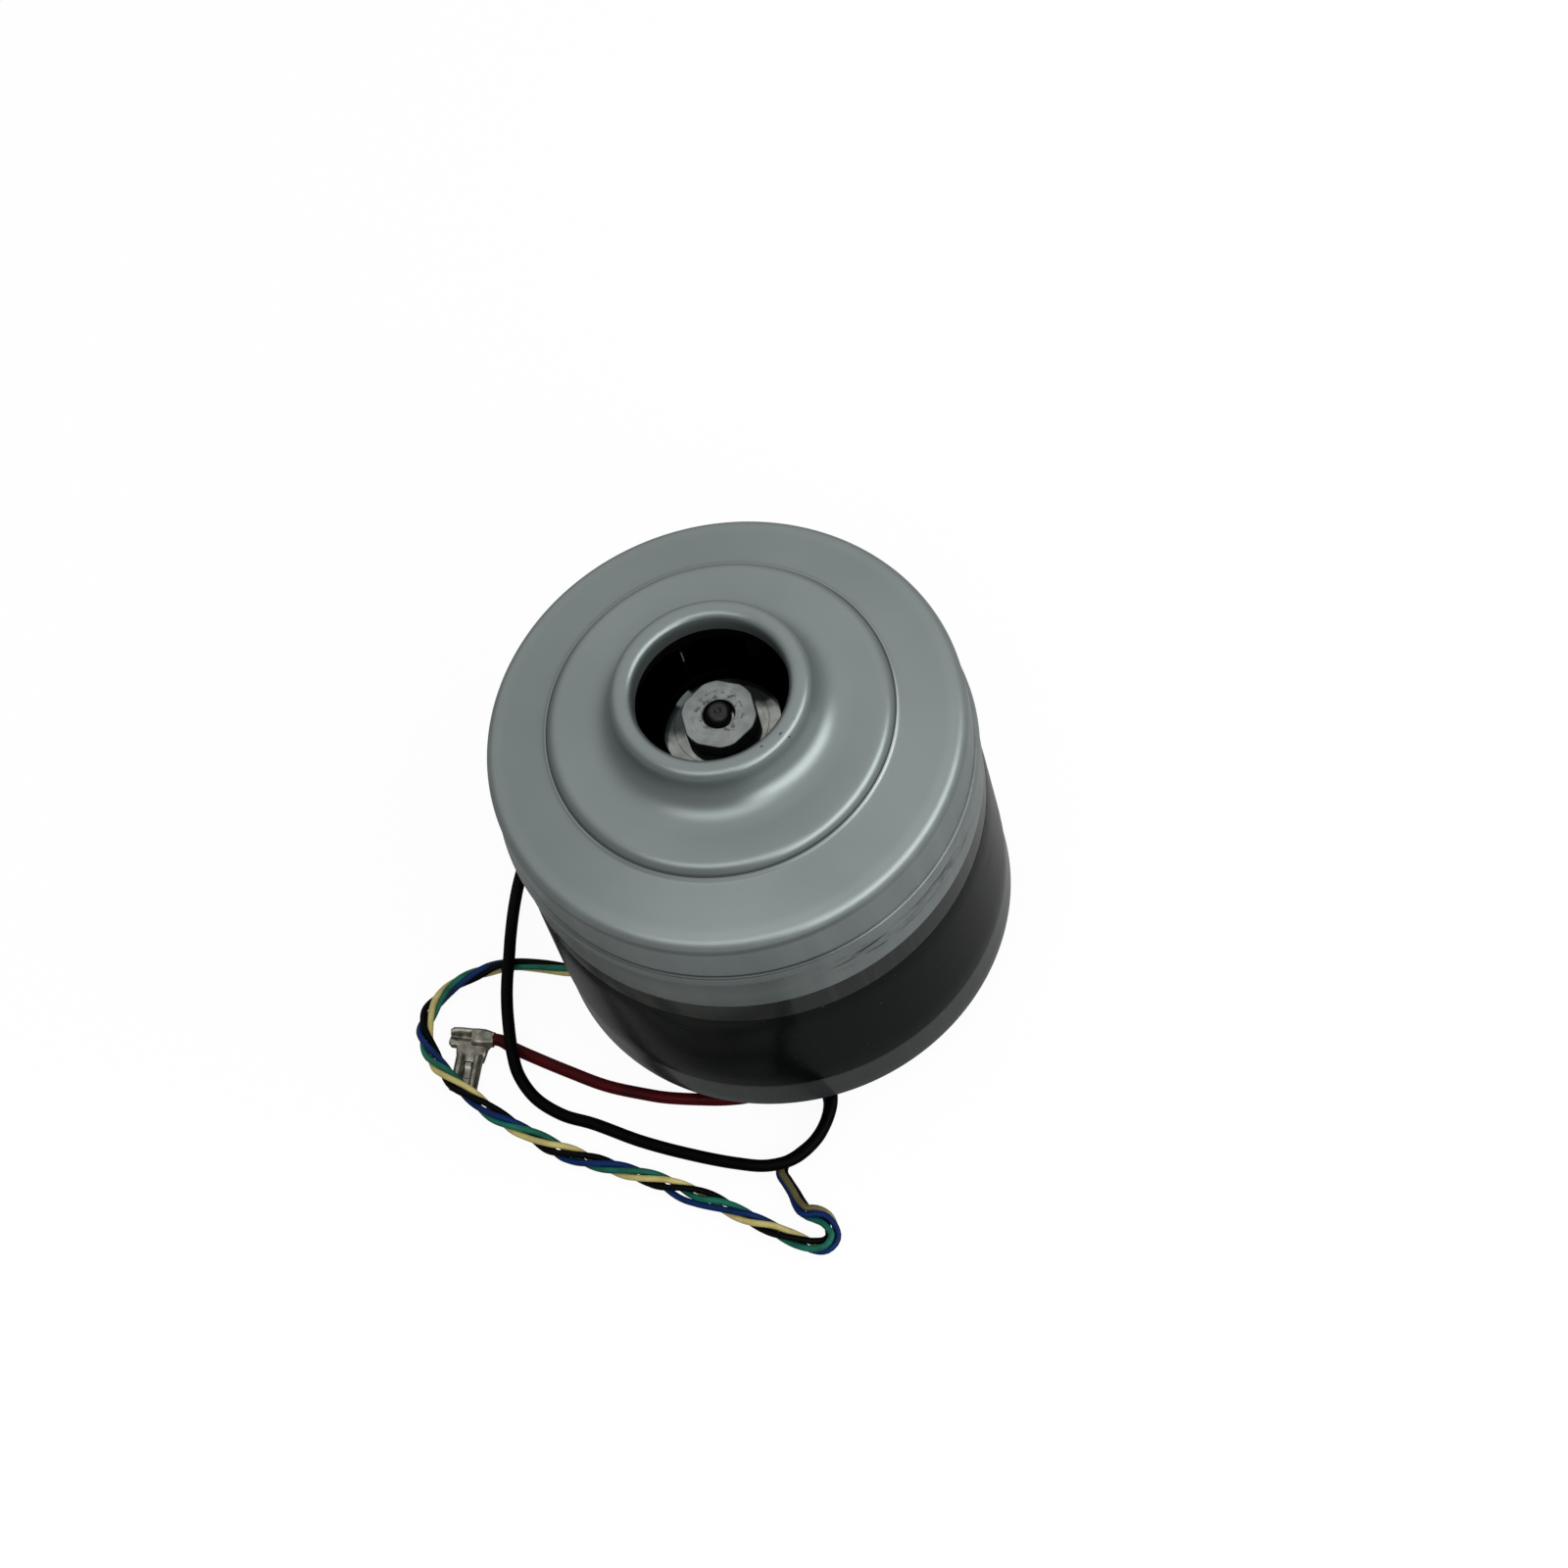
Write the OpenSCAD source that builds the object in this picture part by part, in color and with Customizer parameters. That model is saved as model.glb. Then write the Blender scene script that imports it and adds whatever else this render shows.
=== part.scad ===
// Vacuum motor unit: a one-stage fan on a brushless motor in a round can.
// Millimetres. Origin on the standing surface under the shaft axis, Z up along the shaft.

/* [Casing] */
// Outer radius of the fan casing wall
casing_r = 60; // [58:0.5:66]
// Sheet thickness of cover, shell and can
sheet_t = 1.2; // [1:0.1:1.5]
// Radius of the air inlet
eye_r = 19.3; // [18.5:0.1:20.5]
// Radius of the rolled bead on the inlet lip
lip_bead_r = 2.8; // [2.6:0.1:3.2]
// Height of the lip above the raised step
lip_h = 13.5; // [12:0.5:16]
// Length of the straight wall inside the lip
lip_wall_h = 4.3; // [3:0.1:6]
// Fillet between lip and raised step
lip_fillet_r = 7; // [5:0.5:8]
// Width of the sloping ring round the raised step
ring_w = 16.8; // [15:0.1:19]
// Height of the raised step
step_h = 3; // [2:0.5:4]
// Edge radius of the raised step
step_edge_r = 3.5; // [3:0.1:4]
// Slope of the outer ring in degrees
slope_deg = 20; // [16:1:22]
// Corner radius between outer ring and wall
corner_r = 3.5; // [2:0.5:5]
// Rise from the shell's rim to the foot of the step
cover_rise = 21; // [20:0.5:26]
// Height of the fan shell with its rim
shell_h = 18; // [17:0.5:22]
// Depth of the socket that takes the cover's skirt
socket_h = 2.7; // [2:0.1:4]
// Thickness of the rolled socket rim
socket_t = 0.8; // [0.6:0.1:1.2]

/* [Can] */
// Height of the motor can
can_h = 60; // [60:0.5:70]
// Gap between the can's lower rim and the standing surface
ground_gap = 8; // [7.6:0.1:9]
// Step from the casing wall back to the can wall
can_step = 0.5; // [0.4:0.1:2]
// Thickness of the film wrap
wrap_t = 0.28; // [0.1:0.02:0.4]
// Height of the bare band under the wrap
band_low_h = 11.7; // [6:0.1:20]
// Height of the bare band over the wrap
band_top_h = 8.8; // [4:0.1:16]

/* [Rotor] */
// Radius of the shaft in the bearings
shaft_r = 4; // [3.6:0.1:4.2]
// Radius of the shaft's threaded end
stub_r = 2.77; // [2.4:0.01:3.2]
// How far the shaft end stands over the nut
stub_proud = 1.5; // [0.5:0.1:3]
// Radius of the nut
nut_r = 9.6; // [8:0.02:10.5]
// Distance from the shaft axis to the nut's flats
nut_flat = 8.9; // [7.6:0.1:9.4]
// Height of the nut
nut_h = 4.6; // [3:0.1:5]
// Radius of the recess in the nut
nut_recess_r = 4; // [3.5:0.1:6]
// Depth of the recess in the nut
nut_recess_h = 2.2; // [1:0.1:2.6]
// Radius of the clamp washer
washer_r = 11.8; // [11:0.1:12.4]
// Thickness of the clamp washer
washer_t = 1.5; // [1:0.1:2.5]
// Room between impeller and casing wall
fan_gap = 10; // [8.5:0.5:12]
// Number of impeller vanes
vane_n = 9; // [6:1:10]
// Thickness of the vanes
vane_t = 0.9; // [0.6:0.1:1.5]
// Thickness of the front disc
front_disc_t = 0.85; // [0.6:0.05:1.2]
// Thickness of the back disc
back_disc_t = 1.2; // [0.8:0.1:2]
// Height of the hub fairing over the back disc
hub_h = 9.8; // [8:0.1:10.5]
// Share of the stator's radius that the rotor magnet ring takes
magnet_part = 0.388; // [0.36:0.004:0.4]
// Outer radius of the rotor core
rotor_core_r = 9; // [7:0.1:11]
// Wall of the spacer between bearing and impeller
spacer_t = 2.5; // [1.2:0.1:3]

/* [Stator] */
// Room between stator core and can wall
stator_gap = 16.3; // [15.3:0.1:18]
// Height of the stator core
stator_h = 18; // [14:0.5:20]
// Air gap between magnets and stator
air_gap = 0.7; // [0.4:0.1:1.2]
// Share of the stator's radius that its yoke takes
yoke_part = 0.19; // [0.15:0.01:0.21]
// Width of a stator tooth
tooth_w = 8; // [6:0.5:9]
// Thickness of a coil
coil_t = 3.6; // [2:0.1:4]
// Wall of a coil bobbin
bobbin_t = 0.8; // [0.6:0.1:1.2]
// Wall of the bracket's stator skirt
skirt_t = 3; // [2:0.1:4]

/* [Bearings] */
// Outer radius of both bearings
bearing_r = 11; // [10.5:0.5:12]
// Width of both bearings
bearing_w = 7; // [6:0.5:7]
// Radius of the bearing balls
ball_r = 2; // [1.6:0.1:2.1]
// Thickness of a bearing ring
ring_t = 1.6; // [1.4:0.1:1.8]

/* [Underside] */
// Radius of the bearing boss
boss_r = 22; // [20:0.5:24]
// Radial width of the rubber rear mount
mount_w = 7; // [5:0.5:8]
// Height of the rubber rear mount
mount_h = 12; // [9:0.5:15]
// Height of the recess under the end plate
recess_h = 12; // [11:0.5:14]
// Thickness of the end plate
plate_t = 3; // [2:0.5:4]
// Width of an exhaust slot
slot_w = 3; // [2:0.1:3.6]
// Length of an exhaust slot
slot_l = 15; // [10:0.5:17]
// Thickness of the driver board
board_t = 1.6; // [1:0.1:2.4]
// Radius of a capacitor
cap_r = 4; // [3:0.5:4]
// Height of a capacitor
cap_h = 13; // [8:0.5:20]

/* [Hidden] */
$fn = 96;

// Seating gap between pieces that lie on each other
seat = 0.02;
// Running gap of round fits
fit = 0.05;
// Overlap of cutting bodies
eps = 0.5;

// Heights along the shaft
z_rim = ground_gap;
z_can = z_rim + can_h;
z_shell = z_can + shell_h;
z_crease = z_shell + cover_rise;
z_step = z_crease + step_h;
z_crest = z_step + lip_h;
z_skirt = z_shell - socket_h;
z_lip_c = z_crest - lip_bead_r;
z_lip_low = z_lip_c - lip_wall_h;

// Cover radii
step_r = casing_r - ring_w;
impeller_r = casing_r - fan_gap;
lip_c_r = eye_r + lip_bead_r;
lip_out_r = eye_r + 2 * lip_bead_r;
flat_r = lip_out_r + lip_fillet_r;
corner_c_r = casing_r - corner_r;
function slope_z(r) = z_crease - (r - step_r) * tan(slope_deg);
z_corner = slope_z(corner_c_r) - corner_r / cos(slope_deg);
wall_in_r = casing_r - sheet_t;
seal_lift = 0.6;
seal_h = 2.6;

// Can radii and wrap heights
can_r = casing_r - can_step;
can_in_r = can_r - sheet_t;
stator_r = can_in_r - stator_gap;
magnet_r = stator_r * magnet_part;
yoke_t = stator_r * yoke_part;
wrap_in_r = can_r + seat;
z_wrap_low = z_rim + band_low_h;
z_wrap_top = z_can - band_top_h;

// Bracket
bracket_ring_w = 11;
bracket_h = 3;
bracket_gap = 0.2;
bracket_out_r = wall_in_r - bracket_gap;
bracket_in_r = bracket_out_r - bracket_ring_w;
z_bracket = z_can + sheet_t;
z_bracket_top = z_bracket + bracket_h;
bracket_hub_t = 5;
bracket_hub_r = bearing_r + bracket_hub_t;
bearing_proud = 0.8;
z_front_bearing = z_bracket_top - bearing_w + bearing_proud;
z_front_top = z_front_bearing + bearing_w;
hub_web_t = 2;
hub_hole_gap = 1;
hub_hole_r = shaft_r + spacer_t + hub_hole_gap;
spoke_n = 6;
spoke_w = 6;
spoke_root = 2;
spoke_drop = 0.3;
spoke_l = bracket_in_r - bracket_hub_r + 2 * spoke_root;
screw_n = 6;
screw_r = 2;
screw_head_r = 3.4;
screw_head_h = 2.4;
screw_inset = 4.6;
screw_pcd_r = bracket_out_r - screw_inset;

// Diffuser and impeller heights
diffuser_t = 2.5;
diffuser_gap = 5.3;
diffuser_r = wall_in_r - diffuser_gap;
diffuser_rise = 16;
return_vane_n = 9;
return_vane_t = 1.6;
return_gap = 0.8;
return_in_r = bracket_hub_r + bracket_hub_t - return_gap;
return_out_r = screw_pcd_r - screw_head_r - return_gap;
z_diffuser = z_bracket_top + diffuser_rise;
back_gap = 1.5;
z_back = z_diffuser + diffuser_t + back_gap;
z_back_top = z_back + back_disc_t;
z_hub = z_back_top + hub_h;
z_washer = z_hub + washer_t;
z_nut = z_washer + nut_h;
z_stub = z_nut + stub_proud;

// Front disc line
cover_gap = 1.3;
z_tip = slope_z(impeller_r) - sheet_t / cos(slope_deg) - cover_gap;
knee_out = 3;
front_knee_r = lip_out_r + knee_out;
knee_gap = 2;
z_knee = z_step - sheet_t - knee_gap;
collar_in = 0.5;
collar_r = lip_c_r - collar_in;
collar_t = 1;
collar_foot = 2.7;
collar_gap = 1;
z_collar = z_lip_low - collar_gap;
vane_in_r = 24;
vane_bend_r = 34;
vane_inset = 0.4;
vane_foot_gap = 1;
hub_shelf = 3.4;
hub_top_r = washer_r + hub_shelf;
hub_waist_w = 1.2;
hub_foot_w = 4;
nut_turn = -33;

// End plate and rear bearing
z_plate = z_rim + recess_h;
z_plate_top = z_plate + plate_t;
plate_r = can_in_r - seat;
boss_low = 1;
boss_floor_t = 5;
boss_pit_gap = 1;
z_washer_low = boss_low + boss_floor_t;
preload_t = 0.8;
z_rear_bearing = z_washer_low + preload_t;
shaft_dip = 0.8;
z_shaft_low = z_washer_low - shaft_dip;
mount_out_r = boss_r + mount_w;
mount_lip = 5;
slot_n = 24;
slot_inset = 5;
slot_in_r = mount_out_r + slot_inset;

// Driver board
post_n = 3;
post_r = 3;
post_h = 5;
post_turn = 75;
post_inset = 10;
post_pcd_r = can_in_r - post_inset;
board_screw_r = 1.5;
board_screw_head_r = 2.75;
board_screw_head_h = 2;
board_screw_l = 4.4;
z_board = z_plate_top + post_h;
z_board_top = z_board + board_t;
board_inset = 4;
board_r = can_in_r - board_inset;
board_bore_gap = 8;
board_bore_r = bearing_r + board_bore_gap;
part_gap = 0.6;
cap_n = 4;
cap_turn = 30;
cap_pcd_r = stator_r + skirt_t + cap_r + part_gap;
fet_n = 6;
fet_w = 10;
fet_d = 6;
fet_h = 4.5;

// Stator
coil_end_h = coil_t + bobbin_t;
coil_top_gap = 1.4;
z_stator_top = z_bracket - coil_end_h - coil_top_gap - (z_bracket - z_front_bearing);
z_stator = z_stator_top - stator_h;
stator_in_r = magnet_r + air_gap;
yoke_in_r = stator_r - yoke_t;
tooth_n = 6;
shoe_h = 2.4;
shoe_over = 2.5;
shoe_w = tooth_w + 2 * shoe_over;
skirt_lift = 2;
skirt_low = z_stator + skirt_lift;
coil_gap = 1.6;
coil_in_r = stator_in_r + shoe_h + coil_gap;
coil_out_r = yoke_in_r - coil_gap;
fet_pcd_r = coil_out_r + part_gap + fet_d / 2;
magnet_over = 0.5;
z_magnet = z_stator - magnet_over;
magnet_h = stator_h + 2 * magnet_over;

// Leads: grommet with three ways, routes and plugs; the plans count the casing's radius as plan_n units
plan_n = 60;
spread = casing_r / plan_n;
lead_r = 1.65;
red_r = 1.65;
bundle_r = 2;
lead_sides = 8;
grommet_x = -9.5 * spread;
grommet_y = -43 * spread;
grommet_pitch = 6 * spread;
grommet_r = 4;
grommet_flange = 1.4;
grommet_flange_t = 1.8;
z_exit = z_plate - grommet_flange_t;

black_plan = [[-3.5, -43, z_exit], [-3.5, -43.5, 14], [-3.6, -46, 9.8], [-4, -50.3, 6.9],
    [-4.8, -54.5, 6.1], [-6.1, -59.8, 5.9], [-9.2, -64.7, 5.9], [-13.6, -68.7, 5.9], [-19.9, -71.2, 5.9],
    [-26.7, -70.6, 5.9], [-34.2, -66.7, 5.2], [-45.2, -58.9, 3.4], [-55.9, -50.3, 1.9],
    [-66.1, -41.1, 1.65], [-73.2, -35.6, 1.65], [-78.6, -28.6, 2.2], [-80.8, -21.5, 3.9],
    [-80.6, -15.7, 5.1], [-79.6, -8.6, 5.1], [-78.2, -1.5, 5], [-76.5, 4.4, 5.3], [-73.8, 11.5, 5.95],
    [-72, 16.7, 5.9], [-68.7, 26.1, 4.2], [-65.3, 34.2, 2.4], [-59.5, 44, 1.7], [-51, 53.5, 1.65],
    [-41, 61, 1.65], [-30, 66.5, 1.65], [-18, 70, 2.2]];
red_plan = [[-15.5, -43, z_exit], [-15.6, -43.6, 13.5], [-17, -45.6, 8.2], [-20, -47.8, 4.2],
    [-25, -48.6, 2.1], [-31, -47.2, 1.65], [-37.6, -44.7, 1.65], [-46.2, -40.8, 1.65],
    [-50.8, -38.1, 1.65], [-59.9, -32, 1.65], [-68.4, -24.3, 1.65], [-74.8, -18.1, 1.65],
    [-80, -12.8, 1.65], [-82.9, -9.3, 1.9], [-84.7, -8.4, 2.2]];
bundle_plan = [[-9.5, -43, z_exit], [-9.4, -43.8, 13.5], [-8.6, -46.3, 8], [-7.4, -50.4, 3.9],
    [-6.4, -54.2, 2.4], [-6.6, -57.8, 2.1], [-9, -62.5, 2.1], [-13.2, -66.4, 2.1], [-18, -68.6, 2.1],
    [-21.6, -70.8, 2.1], [-23.1, -74.4, 2.1], [-22.6, -79.1, 2.1], [-20.8, -83.6, 2.1],
    [-17.6, -87.1, 2.1], [-16.6, -90.9, 2.1], [-17.2, -94, 2.1], [-20.3, -94.6, 2.1],
    [-25.4, -91.1, 2.1], [-33.9, -82.3, 2.1], [-42.5, -73.4, 2.1], [-51.3, -65.4, 2.1],
    [-60, -58.6, 2.1], [-68.3, -52.1, 2.1], [-76.2, -45.5, 2.1], [-82.8, -38.1, 2.3],
    [-89.6, -30.5, 4.2], [-94.9, -22.5, 5.4], [-98.7, -14.9, 5], [-101, -7.5, 3], [-100.9, 0.9, 2.1],
    [-96.2, 7.3, 2.1], [-89.9, 10.7, 2.1], [-82, 11.6, 2.1], [-74.7, 10.9, 2.1], [-68.2, 8.1, 2.1],
    [-62, 4.6, 2.1], [-56, 0.5, 2.2], [-51.6, -5.6, 2.8], [-49.4, -12.6, 3]];
function laid(plan) = [for (q = plan) [q[0] * spread, q[1] * spread, q[2]]];
black_route = laid(black_plan);
red_route = laid(red_plan);
bundle_route = laid(bundle_plan);

// Flag terminals and signal plug
flag_l = 17.4;
flag_back = 2.4;
flag_in = 1.6;
flag_w = 7.4;
flag_t = 0.8;
flag_roll_r = 1.25;
flag_neck_l = 5.4;
crimp_r = 2.1;
crimp_l = 4.6;
crimp_dip = 0.1;
tail_l = 11.5;
tail_w = 5.8;
tail_h = 2.2;
plug_l = 11;
plug_w = 11.4;
plug_h = 6;
plug_way = 1.8;
plug_ways = 4;

function unit(v) = v / norm(v);
function ahead(p, i) = p[min(i + 1, len(p) - 1)] - p[max(i - 1, 0)];
function flat_dir(a) = [a[0], a[1], 0];
function heading(p, i) = i == 0 ? [0, 0, -1]
    : i == len(p) - 1 ? unit(flat_dir(ahead(p, i))) : unit(ahead(p, i));
// Side direction carried along the route, so that the rings don't twist
function carried(s, t) = unit(s - t * (s * t));
function sides(p, i) = i == 0 ? [1, 0, 0] : carried(sides(p, i - 1), heading(p, i));
function turned(k) = (k + 0.5) * 360 / lead_sides;
function ring(p, i, r, s) = [for (k = [0 : lead_sides - 1])
    p[i] + r * (cos(turned(k)) * s + sin(turned(k)) * cross(heading(p, i), s))];

// Sweeps a lead along its route
module lead(p, r) {
    n = len(p);
    m = lead_sides;
    points = [for (i = [0 : n - 1]) each ring(p, i, r, sides(p, i))];
    walls = [for (i = [0 : n - 2], k = [0 : m - 1]) each [
        [i * m + k, (i + 1) * m + k, i * m + (k + 1) % m],
        [i * m + (k + 1) % m, (i + 1) * m + k, (i + 1) * m + (k + 1) % m]]];
    first = [for (k = [0 : m - 1]) k];
    last = [for (k = [m - 1 : -1 : 0]) (n - 1) * m + k];
    polyhedron(points, concat(walls, [first, last]));
}

// A ring with a rectangular section
module tube(r_out, r_in, z, h) {
    rotate_extrude()
        translate([r_in, z])
            square([r_out - r_in, h]);
}

// Copies placed round the shaft
module around(n, turn = 0) {
    for (k = [0 : n - 1])
        rotate(turn + k * 360 / n)
            children();
}

// Section of the space under the cover's sheet, drawn in by the inset
module cover_space(inset) {
    z_cone = z_crease - inset / cos(slope_deg);
    bend = corner_r - inset;
    polygon([[0, z_skirt - inset], [casing_r - inset, z_skirt - inset], [casing_r - inset, z_corner],
        [corner_c_r + bend * sin(slope_deg), z_corner + bend * cos(slope_deg)],
        [step_r, z_cone], [0, z_cone]]);
    translate([corner_c_r, z_corner])
        circle(bend);
    translate([0, z_skirt])
        square([step_r - step_edge_r, z_step - inset - z_skirt]);
    translate([step_r - step_edge_r, z_step - step_edge_r])
        circle(step_edge_r - inset);
    translate([eye_r + inset, z_skirt])
        square([2 * (lip_bead_r - inset), z_lip_c - z_skirt]);
    translate([lip_c_r, z_lip_c])
        circle(lip_bead_r - inset);
    difference() {
        translate([lip_c_r, z_skirt])
            square([flat_r - lip_c_r, z_step + lip_fillet_r - z_skirt]);
        translate([flat_r, z_step + lip_fillet_r])
            circle(lip_fillet_r + inset);
        translate([lip_out_r - inset, z_step + lip_fillet_r])
            square([flat_r, lip_fillet_r]);
    }
}

module fan_cover() {
    color("silver")
        rotate_extrude()
            difference() {
                cover_space(0);
                cover_space(sheet_t);
                translate([0, z_skirt - eps])
                    square([eye_r + sheet_t, z_lip_low - z_skirt + eps]);
            }
}

module fan_shell() {
    rim_in = casing_r + fit;
    rim_out = rim_in + socket_t;
    color("silver")
        difference() {
            rotate_extrude() {
                translate([wall_in_r, z_can])
                    square([sheet_t, z_skirt - z_can]);
                translate([bracket_in_r, z_can])
                    square([casing_r - bracket_in_r, sheet_t]);
                polygon([[wall_in_r, z_skirt - sheet_t], [casing_r, z_skirt - sheet_t],
                    [rim_out, z_skirt - seat - socket_t / 2], [rim_out, z_skirt - seat],
                    [wall_in_r, z_skirt - seat]]);
                translate([rim_in, z_skirt - seat - socket_t / 2])
                    square([socket_t, socket_h]);
                translate([rim_in + socket_t / 2, z_shell - socket_t / 2])
                    circle(socket_t / 2);
            }
            around(screw_n)
                translate([screw_pcd_r, 0, z_can - eps])
                    cylinder(r = screw_r + fit, h = sheet_t + 2 * eps);
        }
}

module inlet_seal() {
    color("dimgray")
        tube(lip_out_r - sheet_t - seat, eye_r + sheet_t + seat, z_lip_low + seal_lift, seal_h);
}

module return_vane() {
    linear_extrude(diffuser_rise + eps)
        intersection() {
            difference() {
                translate([0, vane_bend_r])
                    circle(vane_bend_r + return_vane_t);
                translate([0, vane_bend_r])
                    circle(vane_bend_r);
                translate([-2 * casing_r, -casing_r])
                    square(2 * casing_r);
            }
            difference() {
                circle(return_out_r);
                circle(return_in_r);
            }
        }
}

module diffuser() {
    color("darkslategray") {
        tube(diffuser_r, hub_hole_r, z_diffuser, diffuser_t);
        around(return_vane_n)
            translate([0, 0, z_bracket_top])
                return_vane();
    }
}

module front_bracket() {
    color("gray")
        difference() {
            union() {
                tube(bracket_out_r, bracket_in_r, z_bracket, bracket_h);
                tube(stator_r + skirt_t, stator_r + seat, skirt_low, z_bracket_top - skirt_low);
                rotate_extrude()
                    polygon([[bearing_r + seat, z_front_bearing], [bracket_hub_r, z_front_bearing],
                        [bracket_hub_r, z_front_top + hub_web_t], [hub_hole_r, z_front_top + hub_web_t],
                        [hub_hole_r, z_front_top], [bearing_r + seat, z_front_top]]);
                around(spoke_n, 180 / spoke_n)
                    translate([bracket_hub_r - spoke_root, -spoke_w / 2, z_bracket + spoke_drop])
                        cube([spoke_l, spoke_w, bracket_h - 2 * spoke_drop]);
            }
            around(screw_n)
                translate([screw_pcd_r, 0, z_bracket - eps])
                    cylinder(r = screw_r + fit, h = bracket_h + 2 * eps);
        }
}

module bracket_screws() {
    color("silver")
        around(screw_n)
            translate([screw_pcd_r, 0, 0]) {
                translate([0, 0, z_can])
                    cylinder(r = screw_r, h = z_bracket_top - z_can + eps);
                translate([0, 0, z_bracket_top])
                    cylinder(r = screw_head_r, h = screw_head_h);
            }
}

module motor_can() {
    color("dimgray")
        tube(can_r, can_in_r, z_rim, can_h);
}

module can_wrap() {
    color("black")
        tube(wrap_in_r + wrap_t, wrap_in_r, z_wrap_low, z_wrap_top - z_wrap_low);
}

// Outline of the grommet's three ways, grown by a margin
module grommet_outline(margin) {
    translate([grommet_x - grommet_pitch, grommet_y - grommet_r - margin])
        square([2 * grommet_pitch, 2 * (grommet_r + margin)]);
    for (side = [-1, 1])
        translate([grommet_x + side * grommet_pitch, grommet_y])
            circle(grommet_r + margin);
}

module end_plate() {
    grommet_turn = atan2(grommet_y, grommet_x);
    keep_off = 32;
    away = cos(keep_off);
    color("gray")
        difference() {
            union() {
                rotate_extrude()
                    polygon([[0, boss_low], [boss_r, boss_low], [boss_r, z_plate], [plate_r, z_plate],
                        [plate_r, z_plate_top], [bearing_r + seat, z_plate_top],
                        [bearing_r + seat, z_washer_low], [shaft_r + boss_pit_gap, z_washer_low],
                        [shaft_r + boss_pit_gap, z_shaft_low - boss_pit_gap],
                        [0, z_shaft_low - boss_pit_gap]]);
                around(post_n, post_turn)
                    translate([post_pcd_r, 0, z_plate_top - eps])
                        cylinder(r = post_r, h = post_h + eps);
            }
            for (k = [0 : slot_n - 1])
                if (cos(k * 360 / slot_n - grommet_turn) < away)
                    rotate(k * 360 / slot_n)
                        translate([slot_in_r, -slot_w / 2, z_plate - eps])
                            cube([slot_l, slot_w, plate_t + 2 * eps]);
            translate([0, 0, z_plate - eps])
                linear_extrude(plate_t + 2 * eps)
                    grommet_outline(seat);
            around(post_n, post_turn)
                translate([post_pcd_r, 0, z_board - board_screw_l])
                    cylinder(r = board_screw_r + fit, h = board_screw_l + eps);
        }
}

module rear_mount() {
    color("black")
        rotate_extrude()
            polygon([[boss_r - mount_lip, 0], [mount_out_r, 0], [mount_out_r, mount_h],
                [boss_r + seat, mount_h], [boss_r + seat, boss_low], [boss_r - mount_lip, boss_low]]);
}

// Ball grooves run midway between the rings
groove_c_r = (shaft_r + bearing_r) / 2;

module bearing_outer(z) {
    color("silver")
        rotate_extrude()
            difference() {
                translate([bearing_r - ring_t, z])
                    square([ring_t, bearing_w]);
                translate([groove_c_r, z + bearing_w / 2])
                    circle(ball_r + fit);
            }
}

module bearing_inner(z) {
    color("silver")
        rotate_extrude()
            difference() {
                translate([shaft_r + seat, z])
                    square([ring_t, bearing_w]);
                translate([groove_c_r, z + bearing_w / 2])
                    circle(ball_r + fit);
            }
}

module bearing_balls(z) {
    color("silver")
        around(7)
            translate([groove_c_r, 0, z + bearing_w / 2])
                sphere(ball_r, $fn = 32);
}

module front_bearing_outer() {
    bearing_outer(z_front_bearing);
}

module front_bearing_inner() {
    bearing_inner(z_front_bearing);
}

module front_bearing_balls() {
    bearing_balls(z_front_bearing);
}

module rear_bearing_outer() {
    bearing_outer(z_rear_bearing);
}

module rear_bearing_inner() {
    bearing_inner(z_rear_bearing);
}

module rear_bearing_balls() {
    bearing_balls(z_rear_bearing);
}

module preload_washer() {
    color("silver")
        tube(bearing_r, bearing_r - ring_t, z_washer_low, preload_t);
}

module stator_core() {
    color("slategray")
        difference() {
            union() {
                tube(stator_r, yoke_in_r, z_stator, stator_h);
                intersection() {
                    around(tooth_n)
                        translate([0, 0, z_stator]) {
                            translate([0, -tooth_w / 2, 0])
                                cube([yoke_in_r + 1, tooth_w, stator_h]);
                            translate([0, -shoe_w / 2, 0])
                                cube([stator_in_r + shoe_h, shoe_w, stator_h]);
                        }
                    cylinder(r = stator_r - 1, h = z_can);
                }
            }
            translate([0, 0, z_stator - eps])
                cylinder(r = stator_in_r, h = stator_h + 2 * eps);
        }
}

// A frame round one tooth: the given wall over the given inner clearance
module tooth_frame(gap, wall) {
    translate([coil_in_r, 0, z_stator + stator_h / 2])
        difference() {
            translate([0, -tooth_w / 2 - gap - wall, -stator_h / 2 - gap - wall])
                cube([coil_out_r - coil_in_r, tooth_w + 2 * (gap + wall), stator_h + 2 * (gap + wall)]);
            translate([-eps, -tooth_w / 2 - gap, -stator_h / 2 - gap])
                cube([coil_out_r - coil_in_r + 2 * eps, tooth_w + 2 * gap, stator_h + 2 * gap]);
        }
}

module coil_bobbins() {
    color("white")
        around(tooth_n)
            tooth_frame(seat, bobbin_t - seat);
}

module stator_coils() {
    color("peru")
        around(tooth_n)
            tooth_frame(bobbin_t + seat, coil_t - seat);
}

module driver_board() {
    color("green")
        difference() {
            tube(board_r, board_bore_r, z_board, board_t);
            around(post_n, post_turn)
                translate([post_pcd_r, 0, z_board - eps])
                    cylinder(r = board_screw_r + fit, h = board_t + 2 * eps);
        }
}

module board_capacitors() {
    color("navy")
        around(cap_n, cap_turn)
            translate([cap_pcd_r, 0, z_board_top])
                cylinder(r = cap_r, h = cap_h);
}

module power_transistors() {
    color("black")
        around(fet_n)
            translate([fet_pcd_r - fet_d / 2, -fet_w / 2, z_board_top])
                cube([fet_d, fet_w, fet_h]);
}

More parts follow.
